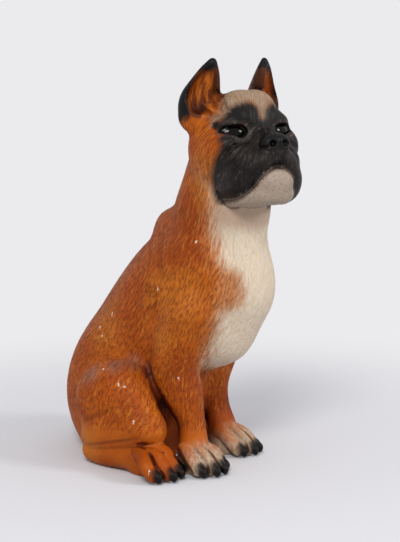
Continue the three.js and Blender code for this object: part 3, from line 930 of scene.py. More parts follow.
    def ear_cup(self, side: Place) -> Limb:
        """Give the hollow in the front of an ear."""
        line = np.array(self.EAR_CUP) + self.EAR_CUP_AHEAD * self.EAR_FACING
        return Limb(line, self.EAR_CUP_GIRTH, 9, (self.EAR_FACING, 1.1), side)

    def ears(self, clay: Clay) -> None:
        """Add each ear: a pointed shell, hollowed from the front.

        Args:
            clay: The figure's clay.
        """
        for side in self.sides:
            clay.add(self.ear_shell(side), 5)
            clay.cut(self.ear_cup(side), 2)
            clay.cut(Limb(self.EAR_MOUTH, (8, 6, 3), place=side), 4)

    def crease(self, clay: Clay) -> None:
        """Press the folds of the face into the clay.

        Args:
            clay: The figure's clay.
        """
        under_eye = (
            ((15, -9, -8), (22, -9, -14), (29.5, -3, -22), (32, 10, -27)),
            ((13, -11, -9), (20, -11, -19), (26.5, -6, -28), (29, 1, -36)),
            ((19, -7, -8), (26, -6, -13), (31.5, 3, -20)),
            ((11, -13, -12), (17, -14, -23), (22, -11, -33)),
            ((24, -5, -10), (30, 1, -15), (34, 10, -21)),
        )
        bag = ((27.5, 2, -8), (22, -4, -11.5), (16, -6, -10), (9, -8, -5.5))
        on_flew = (
            ((17, -12, -12), (21, -13, -22), (24, -9, -34), (25, -3, -43)),
            ((33, 12, -14), (35, 18, -24), (33, 22, -34)),
            ((9, -16, -14), (13, -17, -24), (17, -15, -34)),
        )
        ridges = (
            ((17, -9, -8), (24, -7.5, -15), (30, 0, -23), (32, 12, -30)),
            ((14, -12, -10), (21, -11, -21), (27, -5, -31)),
            ((21, -6, -9), (28, -4, -14.5), (33, 6, -21)),
        )
        corner = (
            ((22, 16, -49), (25, 24, -47), (24, 31, -42)),
            ((24, 14, -46), (28, 22, -42), (27, 30, -36)),
        )
        folds = (
            (under_eye, 1.9, 1.3),
            (on_flew, 1.7, 0.8),
            (ridges, 1.2, -0.5),
            (corner, 2.4, 1.4),
            ((bag,), 1.5, 1.0),
        )
        for side in self.sides:
            for lines, width, depth in folds:
                clay.press(lines, width, depth, side)


def split_quads(points: Array, quads: Array) -> tuple[Array, Array]:
    """Split each quad into four.

    Args:
        points: The net's points.
        quads: Its quads, as rows of four indices.

    Returns:
        The points and quads of the finer net.
    """
    sides = np.sort(np.stack([quads, np.roll(quads, -1, 1)], -1), -1).reshape(-1, 2)
    keys = sides[:, 0] * len(points) + sides[:, 1]
    _, first, back = np.unique(keys, return_index=True, return_inverse=True)
    halves = points[sides[first]].mean(1)
    middles = points[quads].mean(1)
    half = len(points) + back.reshape(-1, 4)
    middle = len(points) + len(halves) + np.arange(len(quads))
    four = [np.stack([quads[:, i], half[:, i], middle, half[:, i - 1]], 1) for i in range(4)]
    return np.vstack([points, halves, middles]), np.vstack(four)


@dataclass
class Figure:
    """The whole dog: its clay, and the frame that the clay is fitted to."""

    stance: Stance = field(default_factory=Stance)

    def __post_init__(self) -> None:
        """Make the sub-assemblies and sculpt them."""
        self.legs, self.head = Legs(self.stance), Head(self.stance)
        self.clay, self.thigh = Clay(), Clay()
        parts = (Trunk(self.stance), self.legs, self.head)
        for part in parts:
            part.model(self.clay)
        for part in parts:
            part.crease(self.clay)
        self.clay.cut(Ground(0), 0.5)
        for side in Side:
            self.thigh.add(self.legs.thigh(side), 0.1)

    def skin(self) -> tuple[Array, Array]:
        """Give the points and quads of the cast's surface.

        Returns:
            The points, and the quads as rows of four indices.
        """
        points, quads = SurfaceNet(self.clay, COARSE_GRID, ROOM_LOW, ROOM_HIGH).corners_and_quads()
        points, quads = split_quads(self.clay.settle(points, 1), quads)
        return self.clay.settle(points), quads

    def mesh(self) -> Mesh:
        """Give the cast's surface as a mesh in metres, still in the sculptor's frame.

        Returns:
            The mesh.
        """
        points, quads = self.skin()
        LOG.info("the cast's surface: %d points, %d quads", len(points), len(quads))
        mesh = bpy.data.meshes.new("dog figurine")
        mesh.vertices.add(len(points))
        mesh.vertices.foreach_set("co", (points * MM).astype(np.float32).ravel())
        mesh.loops.add(quads.size)
        mesh.loops.foreach_set("vertex_index", quads.astype(np.int32).ravel())
        mesh.polygons.add(len(quads))
        mesh.polygons.foreach_set("loop_start", np.arange(0, quads.size, 4, dtype=np.int32))
        mesh.polygons.foreach_set("use_smooth", np.ones(len(quads), bool))
        mesh.update(calc_edges=True)
        mesh.validate()
        return mesh


def read(items: Sequence, name: str, width: int, kind: type = np.float32) -> Array:
    """Read a property of every item of one of a mesh's collections.

    Args:
        items: The collection.
        name: The property.
        width: How many numbers it has.
        kind: Their type.

    Returns:
        One row for each item.
    """
    flat = np.empty(len(items) * width, kind)
    items.foreach_get(name, flat)
    return flat.reshape(-1, width)


def baked(thing: Thing, name: str) -> Mesh:
    """Give the mesh that an object's modifiers make of it, and take the modifiers away.

    Args:
        thing: The object, which keeps the new mesh.
        name: The new mesh's name.

    Returns:
        The new mesh.
    """
    graph = bpy.context.evaluated_depsgraph_get()
    graph.update()
    mesh = bpy.data.meshes.new_from_object(thing.evaluated_get(graph), depsgraph=graph)
    mesh.name = name
    thing.modifiers.clear()
    thing.data = mesh
    return mesh


def points_and_normals(mesh: Mesh) -> tuple[Array, Array]:
    """Give a mesh's points, in metres, and its normals there."""
    points, normals = read(mesh.vertices, "co", 3), read(mesh.vertex_normals, "vector", 3)
    return points.astype(float), normals.astype(float)


def thin_out(thing: Thing, local: Array) -> None:
    """Put on the modifier that leaves fewer faces, most of all away from the face.

    Args:
        thing: The object.
        local: Its points in the head's frame, in millimetres.
    """
    group = thing.vertex_groups.new(name="plain")
    plain = 1 - 0.9 * ramp(local[:, 2], -62, -50) * ramp(-local[:, 1], -26, -8)
    for step in range(11):
        index = np.flatnonzero(np.round(plain * 10) == step)
        if len(index):
            group.add(index.tolist(), max(step / 10, 0.01), "REPLACE")
    thinner = thing.modifiers.new("thinner", "DECIMATE")
    thinner.vertex_group = group.name
    thinner.vertex_group_factor = 1.0
    thinner.ratio = MOST_TRIANGLES / (2 * len(thing.data.polygons))


def store(mesh: Mesh, name: str, values: Array) -> None:
    """Store a value or a vector for each point of a mesh.

    Args:
        mesh: The mesh.
        name: The attribute's name.
        values: One number or one row for each point.
    """
    kind, field_name = ("FLOAT", "value") if values.ndim == 1 else ("FLOAT_VECTOR", "vector")
    layer = mesh.attributes.get(name) or mesh.attributes.new(name, kind, "POINT")
    layer.data.foreach_set(field_name, np.ascontiguousarray(values, np.float32).ravel())


class Wiring:
    """Builds a node tree, node by node."""

    def __init__(self, tree: bpy.types.NodeTree) -> None:
        """Start on an empty tree."""
        self.tree = tree

    def add(self, kind: str, inputs: dict | None = None, **settings: object) -> bpy.types.Node:
        """Add a node.

        Args:
            kind: The node's type.
            inputs: For its sockets, by name or number, what feeds them or their values.
            settings: Its other properties.

        Returns:
            The node.
        """
        node = self.tree.nodes.new(kind)
        for name, value in settings.items():
            setattr(node, name, value)
        self.feed(node, inputs or {})
        return node

    def feed(self, node: bpy.types.Node, inputs: dict) -> None:
        """Link or set a node's inputs.

        Args:
            node: The node.
            inputs: For its sockets, by name or number, what feeds them or their values.
        """
        for name, value in inputs.items():
            if isinstance(value, Socket):
                self.tree.links.new(value, node.inputs[name])
            else:
                node.inputs[name].default_value = value

    def maths(self, what: str, a: object, b: object = 0.0, clamp: bool = False) -> Socket:
        """Work out a sum of one or two values."""
        return self.add("ShaderNodeMath", {0: a, 1: b}, operation=what, use_clamp=clamp).outputs[0]

    def ramp(self, value: object, start: object, end: object, low: float = 0.0, high: float = 1.0) -> Socket:
        """Rise smoothly from low where the value is start to high where it is end."""
        inputs = {"Value": value, "From Min": start, "From Max": end, "To Min": low, "To Max": high}
        return self.add("ShaderNodeMapRange", inputs, interpolation_type="SMOOTHSTEP").outputs[0]

    def times(self, a: object, b: object, clamp: bool = False) -> Socket:
        """Multiply two values."""
        return self.maths("MULTIPLY", a, b, clamp=clamp)

    def minus(self, a: object, b: object, clamp: bool = False) -> Socket:
        """Take one value from another."""
        return self.maths("SUBTRACT", a, b, clamp=clamp)

    def most(self, a: object, b: object) -> Socket:
        """Give the greater of two values."""
        return self.maths("MAXIMUM", a, b)

    def lay(self, paint: object, over: object, where: object, strength: float) -> Socket:
        """Lay a paint over a colour, as thickly as a mask and a strength say."""
        return self.mix(self.times(where, strength), over, paint)

    def mix(self, share: object, a: object, b: object, how: str = "MIX") -> Socket:
        """Mix two colours.

        Args:
            share: The share of the second one, from 0 to 1.
            a: The first colour.
            b: The second colour.
            how: The way of blending.

        Returns:
            The mixed colour.
        """
        a, b = ((*c, 1.0) if isinstance(c, tuple) and len(c) == 3 else c for c in (a, b))
        inputs = {0: share, 6: a, 7: b}
        return self.add("ShaderNodeMix", inputs, data_type="RGBA", blend_type=how).outputs[2]

    def stored(self, name: object, kind: str = "FLOAT") -> Socket:
        """Read a value stored on the geometry, in a tree that makes geometry."""
        node = self.add("GeometryNodeInputNamedAttribute", {"Name": name}, data_type=kind)
        return node.outputs["Attribute"]

    def attribute(self, name: str) -> Socket:
        """Read a value stored on the mesh."""
        return self.add("ShaderNodeAttribute", attribute_name=name).outputs["Fac"]


def new_material(name: str) -> tuple[Material, Wiring, bpy.types.Node]:
    """Make a material.

    Args:
        name: Its name.

    Returns:
        The material, the wiring of its tree, and its shader.
    """
    material = bpy.data.materials.new(name)
    material.use_nodes = True
    return material, Wiring(material.node_tree), material.node_tree.nodes["Principled BSDF"]


def new_object(name: str, data: bpy.types.ID) -> Thing:
    """Make an object of a mesh, a camera or a lamp, and add it to the scene."""
    thing = bpy.data.objects.new(name, data)
    bpy.context.scene.collection.objects.link(thing)
    return thing


@dataclass(frozen=True)
class Strokes:
    """One kind of short strokes that a maker works over the figure, in millimetres."""

    name: str
    where: str
    length: float
    width: float
    depth: float
    spacing: float
    seed: int
    stray: float

    def values(self, material: Material) -> dict[str, object]:
        """Give the values for the tree's inputs, lengths in metres.

        Args:
            material: The material of the surface.

        Returns:
            For each input, its value.
        """
        return {
            "Mark": self.name,
            "Where": self.where,
            "Stroke length": self.length * MM,
            "Stroke width": self.width * MM,
            "Depth": self.depth * MM,
            "Spacing": self.spacing * MM,
            "Stray": self.stray,
            "Seed": self.seed,
            "Material": material,
        }


@dataclass
class StrokeTree:
    """The tree that presses short strokes along the lie of the hair into a surface."""

    INPUTS = {"Mark": "String", "Where": "String", "Seed": "Int", "Material": "Material"}
    INPUTS |= dict.fromkeys(("Stroke length", "Stroke width", "Depth", "Spacing", "Stray"), "Float")
    CROWDING = 1.1
    SHORTEST, LONGEST = 0.65, 1.3
    RIBBON_STEPS = 7
    RIBBON_WIDTH = 0.05 * MM
    POINTEDNESS = 2.5

    def __post_init__(self) -> None:
        """Build the tree."""
        self.tree = bpy.data.node_groups.new("incised strokes", "GeometryNodeTree")
        face = self.tree.interface
        face.new_socket("Geometry", in_out="INPUT", socket_type="NodeSocketGeometry")
        for name, kind in self.INPUTS.items():
            face.new_socket(name, in_out="INPUT", socket_type=f"NodeSocket{kind}")
        face.new_socket("Geometry", in_out="OUTPUT", socket_type="NodeSocketGeometry")
        self.wires = wires = Wiring(self.tree)
        self.given = given = wires.add("NodeGroupInput").outputs
        pressed = self._pressed(self._strokes())
        whole = wires.add("GeometryNodeRealizeInstances", {"Geometry": pressed}).outputs[0]
        painted = wires.add("GeometryNodeSetMaterial", {"Geometry": whole, "Material": given["Material"]})
        wires.add("NodeGroupOutput", {"Geometry": painted.outputs[0]})

    def _strokes(self) -> Socket:
        """Scatter the strokes over the surface, each turned along the lie of the hair.

        Returns:
            The strokes, as thin ribbons on the surface.
        """
        wires, given = self.wires, self.given
        per_area = wires.maths("DIVIDE", self.CROWDING, wires.times(given["Spacing"], given["Spacing"]))
        inputs = {
            "Mesh": given["Geometry"],
            "Distance Min": given["Spacing"],
            "Density Max": per_area,
            "Density Factor": wires.stored(given["Where"]),
            "Seed": given["Seed"],
        }
        scatter = wires.add("GeometryNodeDistributePointsOnFaces", inputs, distribute_method="POISSON")
        facing = wires.add(
            "FunctionNodeAxesToRotation",
            {0: scatter.outputs["Normal"], 1: wires.stored("lie", "FLOAT_VECTOR")},
            primary_axis="Z",
            secondary_axis="X",
        ).outputs[0]
        stray = wires.add(
            "FunctionNodeRandomValue",
            {2: wires.times(given["Stray"], -1.0), 3: given["Stray"], "Seed": given["Seed"]},
            data_type="FLOAT",
        ).outputs[1]
        twist = wires.add("FunctionNodeAxisAngleToRotation", {"Axis": (0, 0, 1), "Angle": stray}).outputs[0]
        turned_to = wires.add(
            "FunctionNodeRotateRotation", {0: facing, 1: twist}, rotation_space="LOCAL"
        ).outputs[0]
        longer = wires.add(
            "FunctionNodeRandomValue",
            {2: self.SHORTEST, 3: self.LONGEST, "Seed": wires.maths("ADD", given["Seed"], 7.0)},
            data_type="FLOAT",
        ).outputs[1]
        scale = wires.add("ShaderNodeCombineXYZ", {0: longer, 1: 1.0, 2: 1.0}).outputs[0]
        size = {"Size X": given["Stroke length"], "Size Y": self.RIBBON_WIDTH}
        steps = {"Vertices X": self.RIBBON_STEPS, "Vertices Y": 2}
        ribbon = wires.add("GeometryNodeMeshGrid", size | steps).outputs["Mesh"]
        spot = wires.add("ShaderNodeSeparateXYZ", {0: wires.add("GeometryNodeInputPosition").outputs[0]})
        half = wires.maths("DIVIDE", spot.outputs[0], wires.times(given["Stroke length"], 0.5))
        narrowed = wires.maths("POWER", wires.maths("ABSOLUTE", half), self.POINTEDNESS)
        taper = wires.minus(1.0, narrowed)
        ribbon = wires.add(
            "GeometryNodeStoreNamedAttribute",
            {"Geometry": ribbon, "Name": "press", "Value": taper},
            data_type="FLOAT",
            domain="POINT",
        ).outputs[0]
        laid = wires.add(
            "GeometryNodeInstanceOnPoints",
            {"Points": scatter.outputs["Points"], "Instance": ribbon, "Rotation": turned_to, "Scale": scale},
        ).outputs[0]
        return wires.add("GeometryNodeRealizeInstances", {"Geometry": laid}).outputs[0]

    def _pressed(self, strokes: Socket) -> Socket:
        """Press the strokes into the surface, and mark how deep they are at each point.

        Args:
            strokes: The strokes, as thin ribbons.

        Returns:
            The pressed surface.
        """
        wires, given = self.wires, self.given
        near = wires.add("GeometryNodeProximity", {0: strokes}, target_element="FACES").outputs["Distance"]
        inputs = {"Mesh": strokes, "Value": wires.stored("press")}
        taper = wires.add("GeometryNodeSampleNearestSurface", inputs, data_type="FLOAT").outputs["Value"]
        across = wires.maths("POWER", wires.maths("DIVIDE", near, given["Stroke width"]), 2.0)
        bowl = wires.minus(1.0, across, clamp=True)
        depth = wires.times(wires.times(bowl, bowl), taper, clamp=True)
        depth = wires.times(depth, wires.stored(given["Where"]), clamp=True)
        marked = wires.add(
            "GeometryNodeStoreNamedAttribute",
            {"Geometry": given["Geometry"], "Name": given["Mark"], "Value": depth},
            data_type="FLOAT",
            domain="POINT",
        ).outputs[0]
        inwards = wires.times(wires.times(given["Depth"], -1.0), wires.stored(given["Mark"]))
        offset = wires.add(
            "ShaderNodeVectorMath",
            {0: wires.add("GeometryNodeInputNormal").outputs[0], "Scale": inwards},
            operation="SCALE",
        ).outputs[0]
        return wires.add("GeometryNodeSetPosition", {"Geometry": marked, "Offset": offset}).outputs[0]

    def press(self, thing: Thing, strokes: Strokes, material: Material) -> None:
        """Put one kind of strokes on an object.

        Args:
            thing: The object.
            strokes: The kind of strokes.
            material: The object's material.
        """
        modifier = thing.modifiers.new(strokes.name, "NODES")
        modifier.node_group = self.tree
        values = strokes.values(material)
        for item in self.tree.interface.items_tree:
            if item.in_out == "INPUT" and item.name in values:
                modifier[item.identifier] = values[item.name]


def level_out(rise: Array, start: Array, end: Array) -> Array:
    """Find heights for points, so that each edge rises as nearly as possible by what is asked of it.

    Args:
        rise: The rise wanted along each edge.
        start: The point that each edge starts from.
        end: The point that it ends at.

    Returns:
        The height of each point.
    """
    count = int(max(start.max(), end.max())) + 1
    degree = np.maximum(np.bincount(start, minlength=count) + np.bincount(end, minlength=count), 1.0)
    height = np.zeros(count)
    left = np.bincount(end, rise, count) - np.bincount(start, rise, count)
    ready = left / degree
    go, size = ready, float(left @ ready)
    for _ in range(LEVEL_ROUNDS):
        flow = go[end] - go[start]
        pull = np.bincount(end, flow, count) - np.bincount(start, flow, count)
        share = size / float(go @ pull)
        height += share * go
        left -= share * pull
        ready = left / degree
        before, size = size, float(left @ ready)
        if size < LEVEL_ENOUGH:
            break
        go = ready + size / before * go
    return height


def level_widely(rise: Array, ends: Array, points: Array) -> Array:
    """Find such heights for a large surface, first for lumps of it and then for its points.

    Args:
        rise: The rise wanted along each edge.
        ends: The two points of each edge.
        points: The surface's points.

    Returns:
        The height of each point.
    """
    height = np.zeros(len(points))
    start, end = np.ascontiguousarray(ends.T)
    for lump in LUMPS:
        label = np.arange(len(points))
        if lump:
            label = np.unique(cell_of(points, lump), return_inverse=True)[1]
        left = rise - (height[end] - height[start])
        apart = label[start] != label[end]
        heights = level_out(left[apart], label[start[apart]], label[end[apart]])
        height += heights[label]
    return height


@dataclass(frozen=True)
class Comb:
    """One pull of the comb: which way the hair lies round a point."""

    at: Point
    way: Point
    reach: float = 26.0


@dataclass
class Coat:
    """The hair: which way it lies, and where it is worked into the surface."""

    stance: Stance

    BODY = (
        Comb((0, -20, 205), (0, 0.35, -0.94)),
        Comb((0, 5, 165), (0, 0.55, -0.83)),
        Comb((0, 45, 120), (0, 0.5, -0.87)),
        Comb((0, 85, 60), (0, 0.25, -0.97)),
        Comb((30, 0, 165), (0.05, 0.3, -0.95)),
        Comb((45, 30, 115), (0, 0.55, -0.83)),
        Comb((45, 65, 75), (0, 0.45, -0.9)),
        Comb((45, -8, 125), (0, 0.25, -0.97)),
        Comb((38, 5, 185), (0, 0.25, -0.97)),
        Comb((33, -45, 215), (0, 0.12, -0.99)),
        Comb((0, -70, 200), (0, 0.05, -1)),
        Comb((0, -72, 150), (0, 0.1, -1)),
        Comb((0, -55, 95), (0, 0.5, -0.87)),
        Comb((24, -60, 175), (-0.25, -0.05, -0.97)),
        Comb((26, -52, 125), (0.2, 0.1, -0.97)),
        Comb((34, -15, 70), (0, 0.15, -0.99)),
        Comb((66, 25, 60), (0, 0.4, -0.92)),
        Comb((60, 55, 45), (0, 0.3, -0.95)),
    )
    HEAD = (
        Comb((0, 0, 20), (0, 0.8, 0.6), 16),
        Comb((0, 25, 35), (0, 1, 0.1), 18),
        Comb((0, 52, 15), (0, 0.6, -0.8), 20),
        Comb((28, 5, -5), (0.3, 0.9, -0.3), 14),
        Comb((34, 18, -20), (0.2, 0.6, -0.75), 18),
        Comb((34, 30, -35), (0, 0.3, -0.95), 18),
        Comb((26, 25, 45), (-0.1, -0.3, 0.95), 16),
        Comb((0, 0, -52), (0, 0.9, -0.4), 18),
    )

    FOLD = np.array((0.53, -0.848, 0))
    CLOSEST = 0.15

    def combs(self) -> list[tuple[Array, Array, float]]:
        """Give every pull of the comb in the dog's frame.

        Returns:
            Where each one is, which way it goes, and its reach.
        """
        found = []
        for combs, base in ((self.BODY, HERE), (self.HEAD, self.stance.head())):
            for comb in combs:
                for side in BOTH if comb.at[0] else (HERE,):
                    place = base.then(side)
                    found.append((place.put(np.array(comb.at, float)), place.matrix @ comb.way, comb.reach))
        return found

    def lie(self, points: Array, normals: Array) -> Array:
        """Give which way the hair lies at each point, along the surface.

        Args:
            points: The figure's points.
            normals: The normals there.

        Returns:
            The ways, as rows of length 1.
        """
        total = np.zeros_like(points)
        for at, way, reach in self.combs():
            share = 1.0 / (((points - at) ** 2).sum(1) / reach**2 + self.CLOSEST) ** 2
            total += share[:, None] * way
        total -= (total * normals).sum(1)[:, None] * normals
        return total / np.maximum(np.linalg.norm(total, axis=1), TINY)[:, None]

    def combed(self, points: Array, normals: Array, ends: Array) -> Array:
        """Lay two scales over the surface, one across the hair and one along it.

        A scale can't rise all the way round a leg, so the one across the hair folds back where it would turn
        away from a fixed direction.

        Args:
            points: The surface's points.
            normals: The normals there.
            ends: The two points of each edge.

        Returns:
            For each point, how far across the hair it lies and how far along, and a third value of 0.
        """
        way = self.lie(points, normals)
        across_way = np.cross(normals, way)
        across_way *= np.where(across_way @ self.FOLD < 0, -1, 1)[:, None]
        step = points[ends[:, 1]] - points[ends[:, 0]]

        def scale(pull: Array) -> Array:
            """Lay the scale that rises along one pull."""
            return level_widely(0.5 * ((pull[ends[:, 0]] + pull[ends[:, 1]]) * step).sum(1), ends, points)

        with ThreadPoolExecutor(WORKERS) as pool:
            across, along = pool.map(scale, (across_way, way))
        return np.stack([across, along, np.zeros(len(points))], 1)


@dataclass
class Patches:
    """Where each paint lies, as how deep a point is inside its patch, in millimetres."""

    figure: Figure

    MOST = 14.0
    WIDE = 6.0
    FINE = 2.2
    BIB = (
        ((0, -56, 214), 34),
        ((0, -62, 196), 36),
        ((0, -64, 182), 38),
        ((0, -66, 164), 37),
        ((0, -70, 146), 35),
        ((0, -68, 126), 35),
        ((0, -58, 106), 34),
        ((0, -46, 86), 29),
    )
    SOCK = ((0, -8, 0), (24, 30, 22))
    RUST = ((27, -54, 134), (8, 12, 15))
    MUZZLE = ((0, -22, -40), (50, 55, 42))
    NOSE_ROOT = ((0, -8, -4), (17, 12, 9))
    NEAR_BROW = (((-24.5, 1.5, 3), 6), ((-19, -1, 7), 7.5), ((-14.5, -3.5, 10), 8), ((-9, -5.5, 11.5), 7.5))
    FAR_BROW = (((26, 3, 1), 6), ((20, -1, 6), 8.5), ((15, -3.5, 10), 8), ((11, -6, 9.5), 6))
    BRIDGE = (((-9, -6, 9), 6.5), ((-7, -7, 3), 7), ((0, -8, -3), 8), ((9, -7, 2), 7), ((9.5, -6, 8), 5))
    FOREHEAD = (((-27, 9, 13), 5), ((-20, 6, 19), 9.5), ((-5, 1, 27), 10), ((5, 0, 27), 10), ((17, 4, 22), 9))
    UNDER_EYE = (((26, 0, -5), 5.5), ((20, -4, -9), 7), ((12, -8, -8), 7))
    FLEW = (
        ((26, -2, -8), 6),
        ((26.5, -1, -15), 6.5),
        ((27, 5, -22), 7.5),
        ((25, 14, -31), 8),
        ((20, 22, -39), 8.5),
    )
    BLAZE = (((2, -1, 27), 8), ((2.5, -6, 15), 5), ((1.5, -9, 8), 3))
    # Painted shade under the jaw: a grey-brown patch across the throat, in the head's frame
    THROAT_SHADE = (((-18, 30, -52), 10), ((0, 14, -56), 14), ((18, 30, -52), 10))
    # Painted shade in the hollows between the thighs and the forelegs, and between the forelegs
    HOLLOW_SHADE = (((-33, -5, 30), 17), ((33, 2, 30), 15), ((0, 0, 20), 22))
    # Spots of lighter coat on both sides, partly painted highlight, on the shoulders, arms, back and hocks
    HIGHLIGHT_AND_LIGHTER = (
        ((44, -24, 128), 22),
        ((44, -5, 133), 16),
        ((33, 52, 98), 18),
        ((62, 48, 18), 16),
        ((55, -8, 100), 13),
    )
    # Spots of darker coat on both sides, partly painted shade, as under the jaw
    DARKER_AND_SHADED = (
        ((40, -17, 162), 17),
        ((30, -22, 187), 20),
        ((44, -24, 68), 17),
        ((78, 0, 18), 15),
        ((20, -20, 35), 16),
    )
    DUSTY = (((59, 45, 66), 9), ((54, 28, 75), 8), ((46, 19, 77), 8), ((39, 5, 71), 7), ((0, 8, 178), 22))

    def __post_init__(self) -> None:
        """Mark the patches out as clay."""
        head = self.figure.head.place
        self.mask, self.bib, self.pale = Clay(), Clay(), Clay()
        self.socks, self.rust, self.throat_shade = Clay(), Clay(), Clay()
        self.throat_shade.add(self.stroke(self.THROAT_SHADE, head), 4)
        self.mask.add(Ball(*self.MUZZLE, place=head), 1)
        self.mask.add(Ball(*self.NOSE_ROOT, place=head), 4)
        for side in self.figure.head.sides:
            self.mask.add(self.stroke(self.UNDER_EYE, side), 4)
            self.mask.add(self.stroke(self.FLEW, side), 3)
        for line in (self.NEAR_BROW, self.FAR_BROW, self.BRIDGE):
            self.mask.add(self.stroke(line, head), 4)
        self.bib.add(self.stroke(self.BIB, HERE), 1)
        self.pale.add(self.stroke(self.FOREHEAD, head), 1)
        self.pale.add(self.stroke(self.BLAZE, head), 4)
        for side in BOTH:
            self.rust.add(Ball(*self.RUST, place=side), 1)
        for side in Side:
            self.socks.add(Ball(*self.SOCK, place=self.figure.legs.forepaw(side)), 1)

    @staticmethod
    def stroke(line: Sequence[tuple[Point, float]], place: Place) -> Limb:
        """Give a brush stroke as a limb, from its points and radii."""
        return Limb([point for point, _ in line], [radius for _, radius in line], place=place)

    def depth(self, clay: Clay, points: Array) -> Array:
        """Give how deep each point is inside a patch, less than 0 outside it."""
        return np.clip(-clay.distance(points), -self.MOST, self.MOST)

    def cheek(self, points: Array) -> Array:
        """Give how much of the lighter brown lies on the cheeks and the sides of the neck.

        Args:
            points: The figure's points.

        Returns:
            The share at each point, from 0 to 1.
        """
        light = np.zeros(len(points))
        for side in self.figure.head.sides:
            gone = np.linalg.norm((side.inside(points) - (30, 24, -30)) / (16, 22, 26), axis=1)
            light = np.maximum(light, ramp(gone, 1.3, 0.5))
        return light

    @staticmethod
    def sprayed(spots: Sequence[tuple[Point, float]], points: Array) -> Array:
        """Give how strongly paint is sprayed round some spots, on both sides, from 0 to 1: the dust, and the
        spots that are partly painted shade and painted highlight.

        Args:
            spots: The middle of each spot, on the left side, and its radius.
            points: The points.

        Returns:
            The strength at each point.
        """
        strength = np.zeros(len(points))
        for centre, radius in spots:
            for side in BOTH:
                gone = np.linalg.norm(points - side.put(np.array(centre, float)), axis=1)
                strength = np.maximum(strength, ramp(gone, 1.5 * radius, 0.4 * radius))
        return strength

    def creased(self, points: Array) -> Array:
        """Give how deep each point lies in a groove, as a share of the groove's depth.

        Args:
            points: The figure's points.

        Returns:
            The share at each point, from 0 to 1.
        """
        deep = np.zeros(len(points))
        for act, form, _ in self.figure.clay.steps:
            if act is Act.PRESS and form.depth > 0:
                spot = within(points, form.low, form.high)
                if len(spot):
                    deep[spot] = np.maximum(deep[spot], form.distance(points[spot]) / form.depth)
        return deep

    def on_eye(self, points: Array) -> Array:
        """Tell which points lie on an eyeball.

        Args:
            points: The figure's points.

        Returns:
            For each point, whether it does.
        """
        head = self.figure.head
        on = np.zeros(len(points), bool)
        for side in head.sides:
            ball = head.eyeball(side)
            near = within(points, ball.low - 1, ball.high + 1)
            on[near] |= np.abs(ball.distance(points[near])) < 0.25
        return on

    def lids(self, points: Array) -> Array:
        """Give how near each point is to an eyeball.

        Args:
            points: The figure's points.

        Returns:
            The distance from the nearer one, more where no lid is painted.
        """
        near = np.full(len(points), self.MOST)
        for side in self.figure.head.sides:
            ball = self.figure.head.eyeball(side)
            close = within(points, ball.low - 5, ball.high + 5)
            past = 3.5 * ramp(side.inside(points[close])[:, 0], 28, 33)
            near[close] = np.minimum(near[close], np.abs(ball.distance(points[close])) + past)
        return near

    def ears(self, points: Array) -> tuple[Array, Array, Array, Array]:
        """Tell where points lie on the ears.

        Args:
            points: The figure's points.

        Returns:
            How near each is to a rim, how deep inside a cup, how high up the ear, and how much of the black
            of the ear's two edges lies there.
        """
        near, black = np.full(len(points), self.MOST), np.zeros(len(points))
        inside, high = np.zeros(len(points)), np.full(len(points), -self.MOST)
        head = self.figure.head
        for side in head.sides:
            local = side.inside(points)
            spot = np.flatnonzero((local[:, 2] > 5) & (local[:, 0] > 5) & (local[:, 1] > -5))
            shell = head.ear_shell(side).distance(points[spot])
            cup = head.ear_cup(side).distance(points[spot])
            here = shell < 3
            spot, shell, cup = spot[here], shell[here], cup[here]
            line, up = np.array(head.EAR), np.array(head.EAR[-1]) - head.EAR[0]
            outward = np.cross(head.EAR_FACING, up)
            outward /= -np.linalg.norm(outward)
            middle = [np.interp(local[spot] @ up, line @ up, line[:, axis]) for axis in range(3)]
            girth = np.interp(local[spot] @ up, line @ up, head.EAR_GIRTH)
            out = ((local[spot] - np.stack(middle, 1)) @ outward) / girth
            height = local[spot, 2]
            outer = ramp(out - 0.023 * (height - 16), 0.1, 0.35) * ramp(height, 13, 19)
            inner = 0.85 * ramp(-out, 0.3, 0.6) * ramp(height, 27, 34)
            black[spot] = np.maximum(black[spot], np.maximum(outer, inner))
            open_side = 9 * ramp(height, 32, 24) * ramp(local[spot, 0], 31, 27)
            near[spot] = np.minimum(near[spot], np.hypot(shell, cup) + open_side)
            inside[spot] = ramp(-shell, 3, 9) * ramp(cup, 2.5, 0.8) * ramp(height, 36, 22)
            high[spot] = np.clip(height - 46, -self.MOST, self.MOST)
        return near, inside, high, black

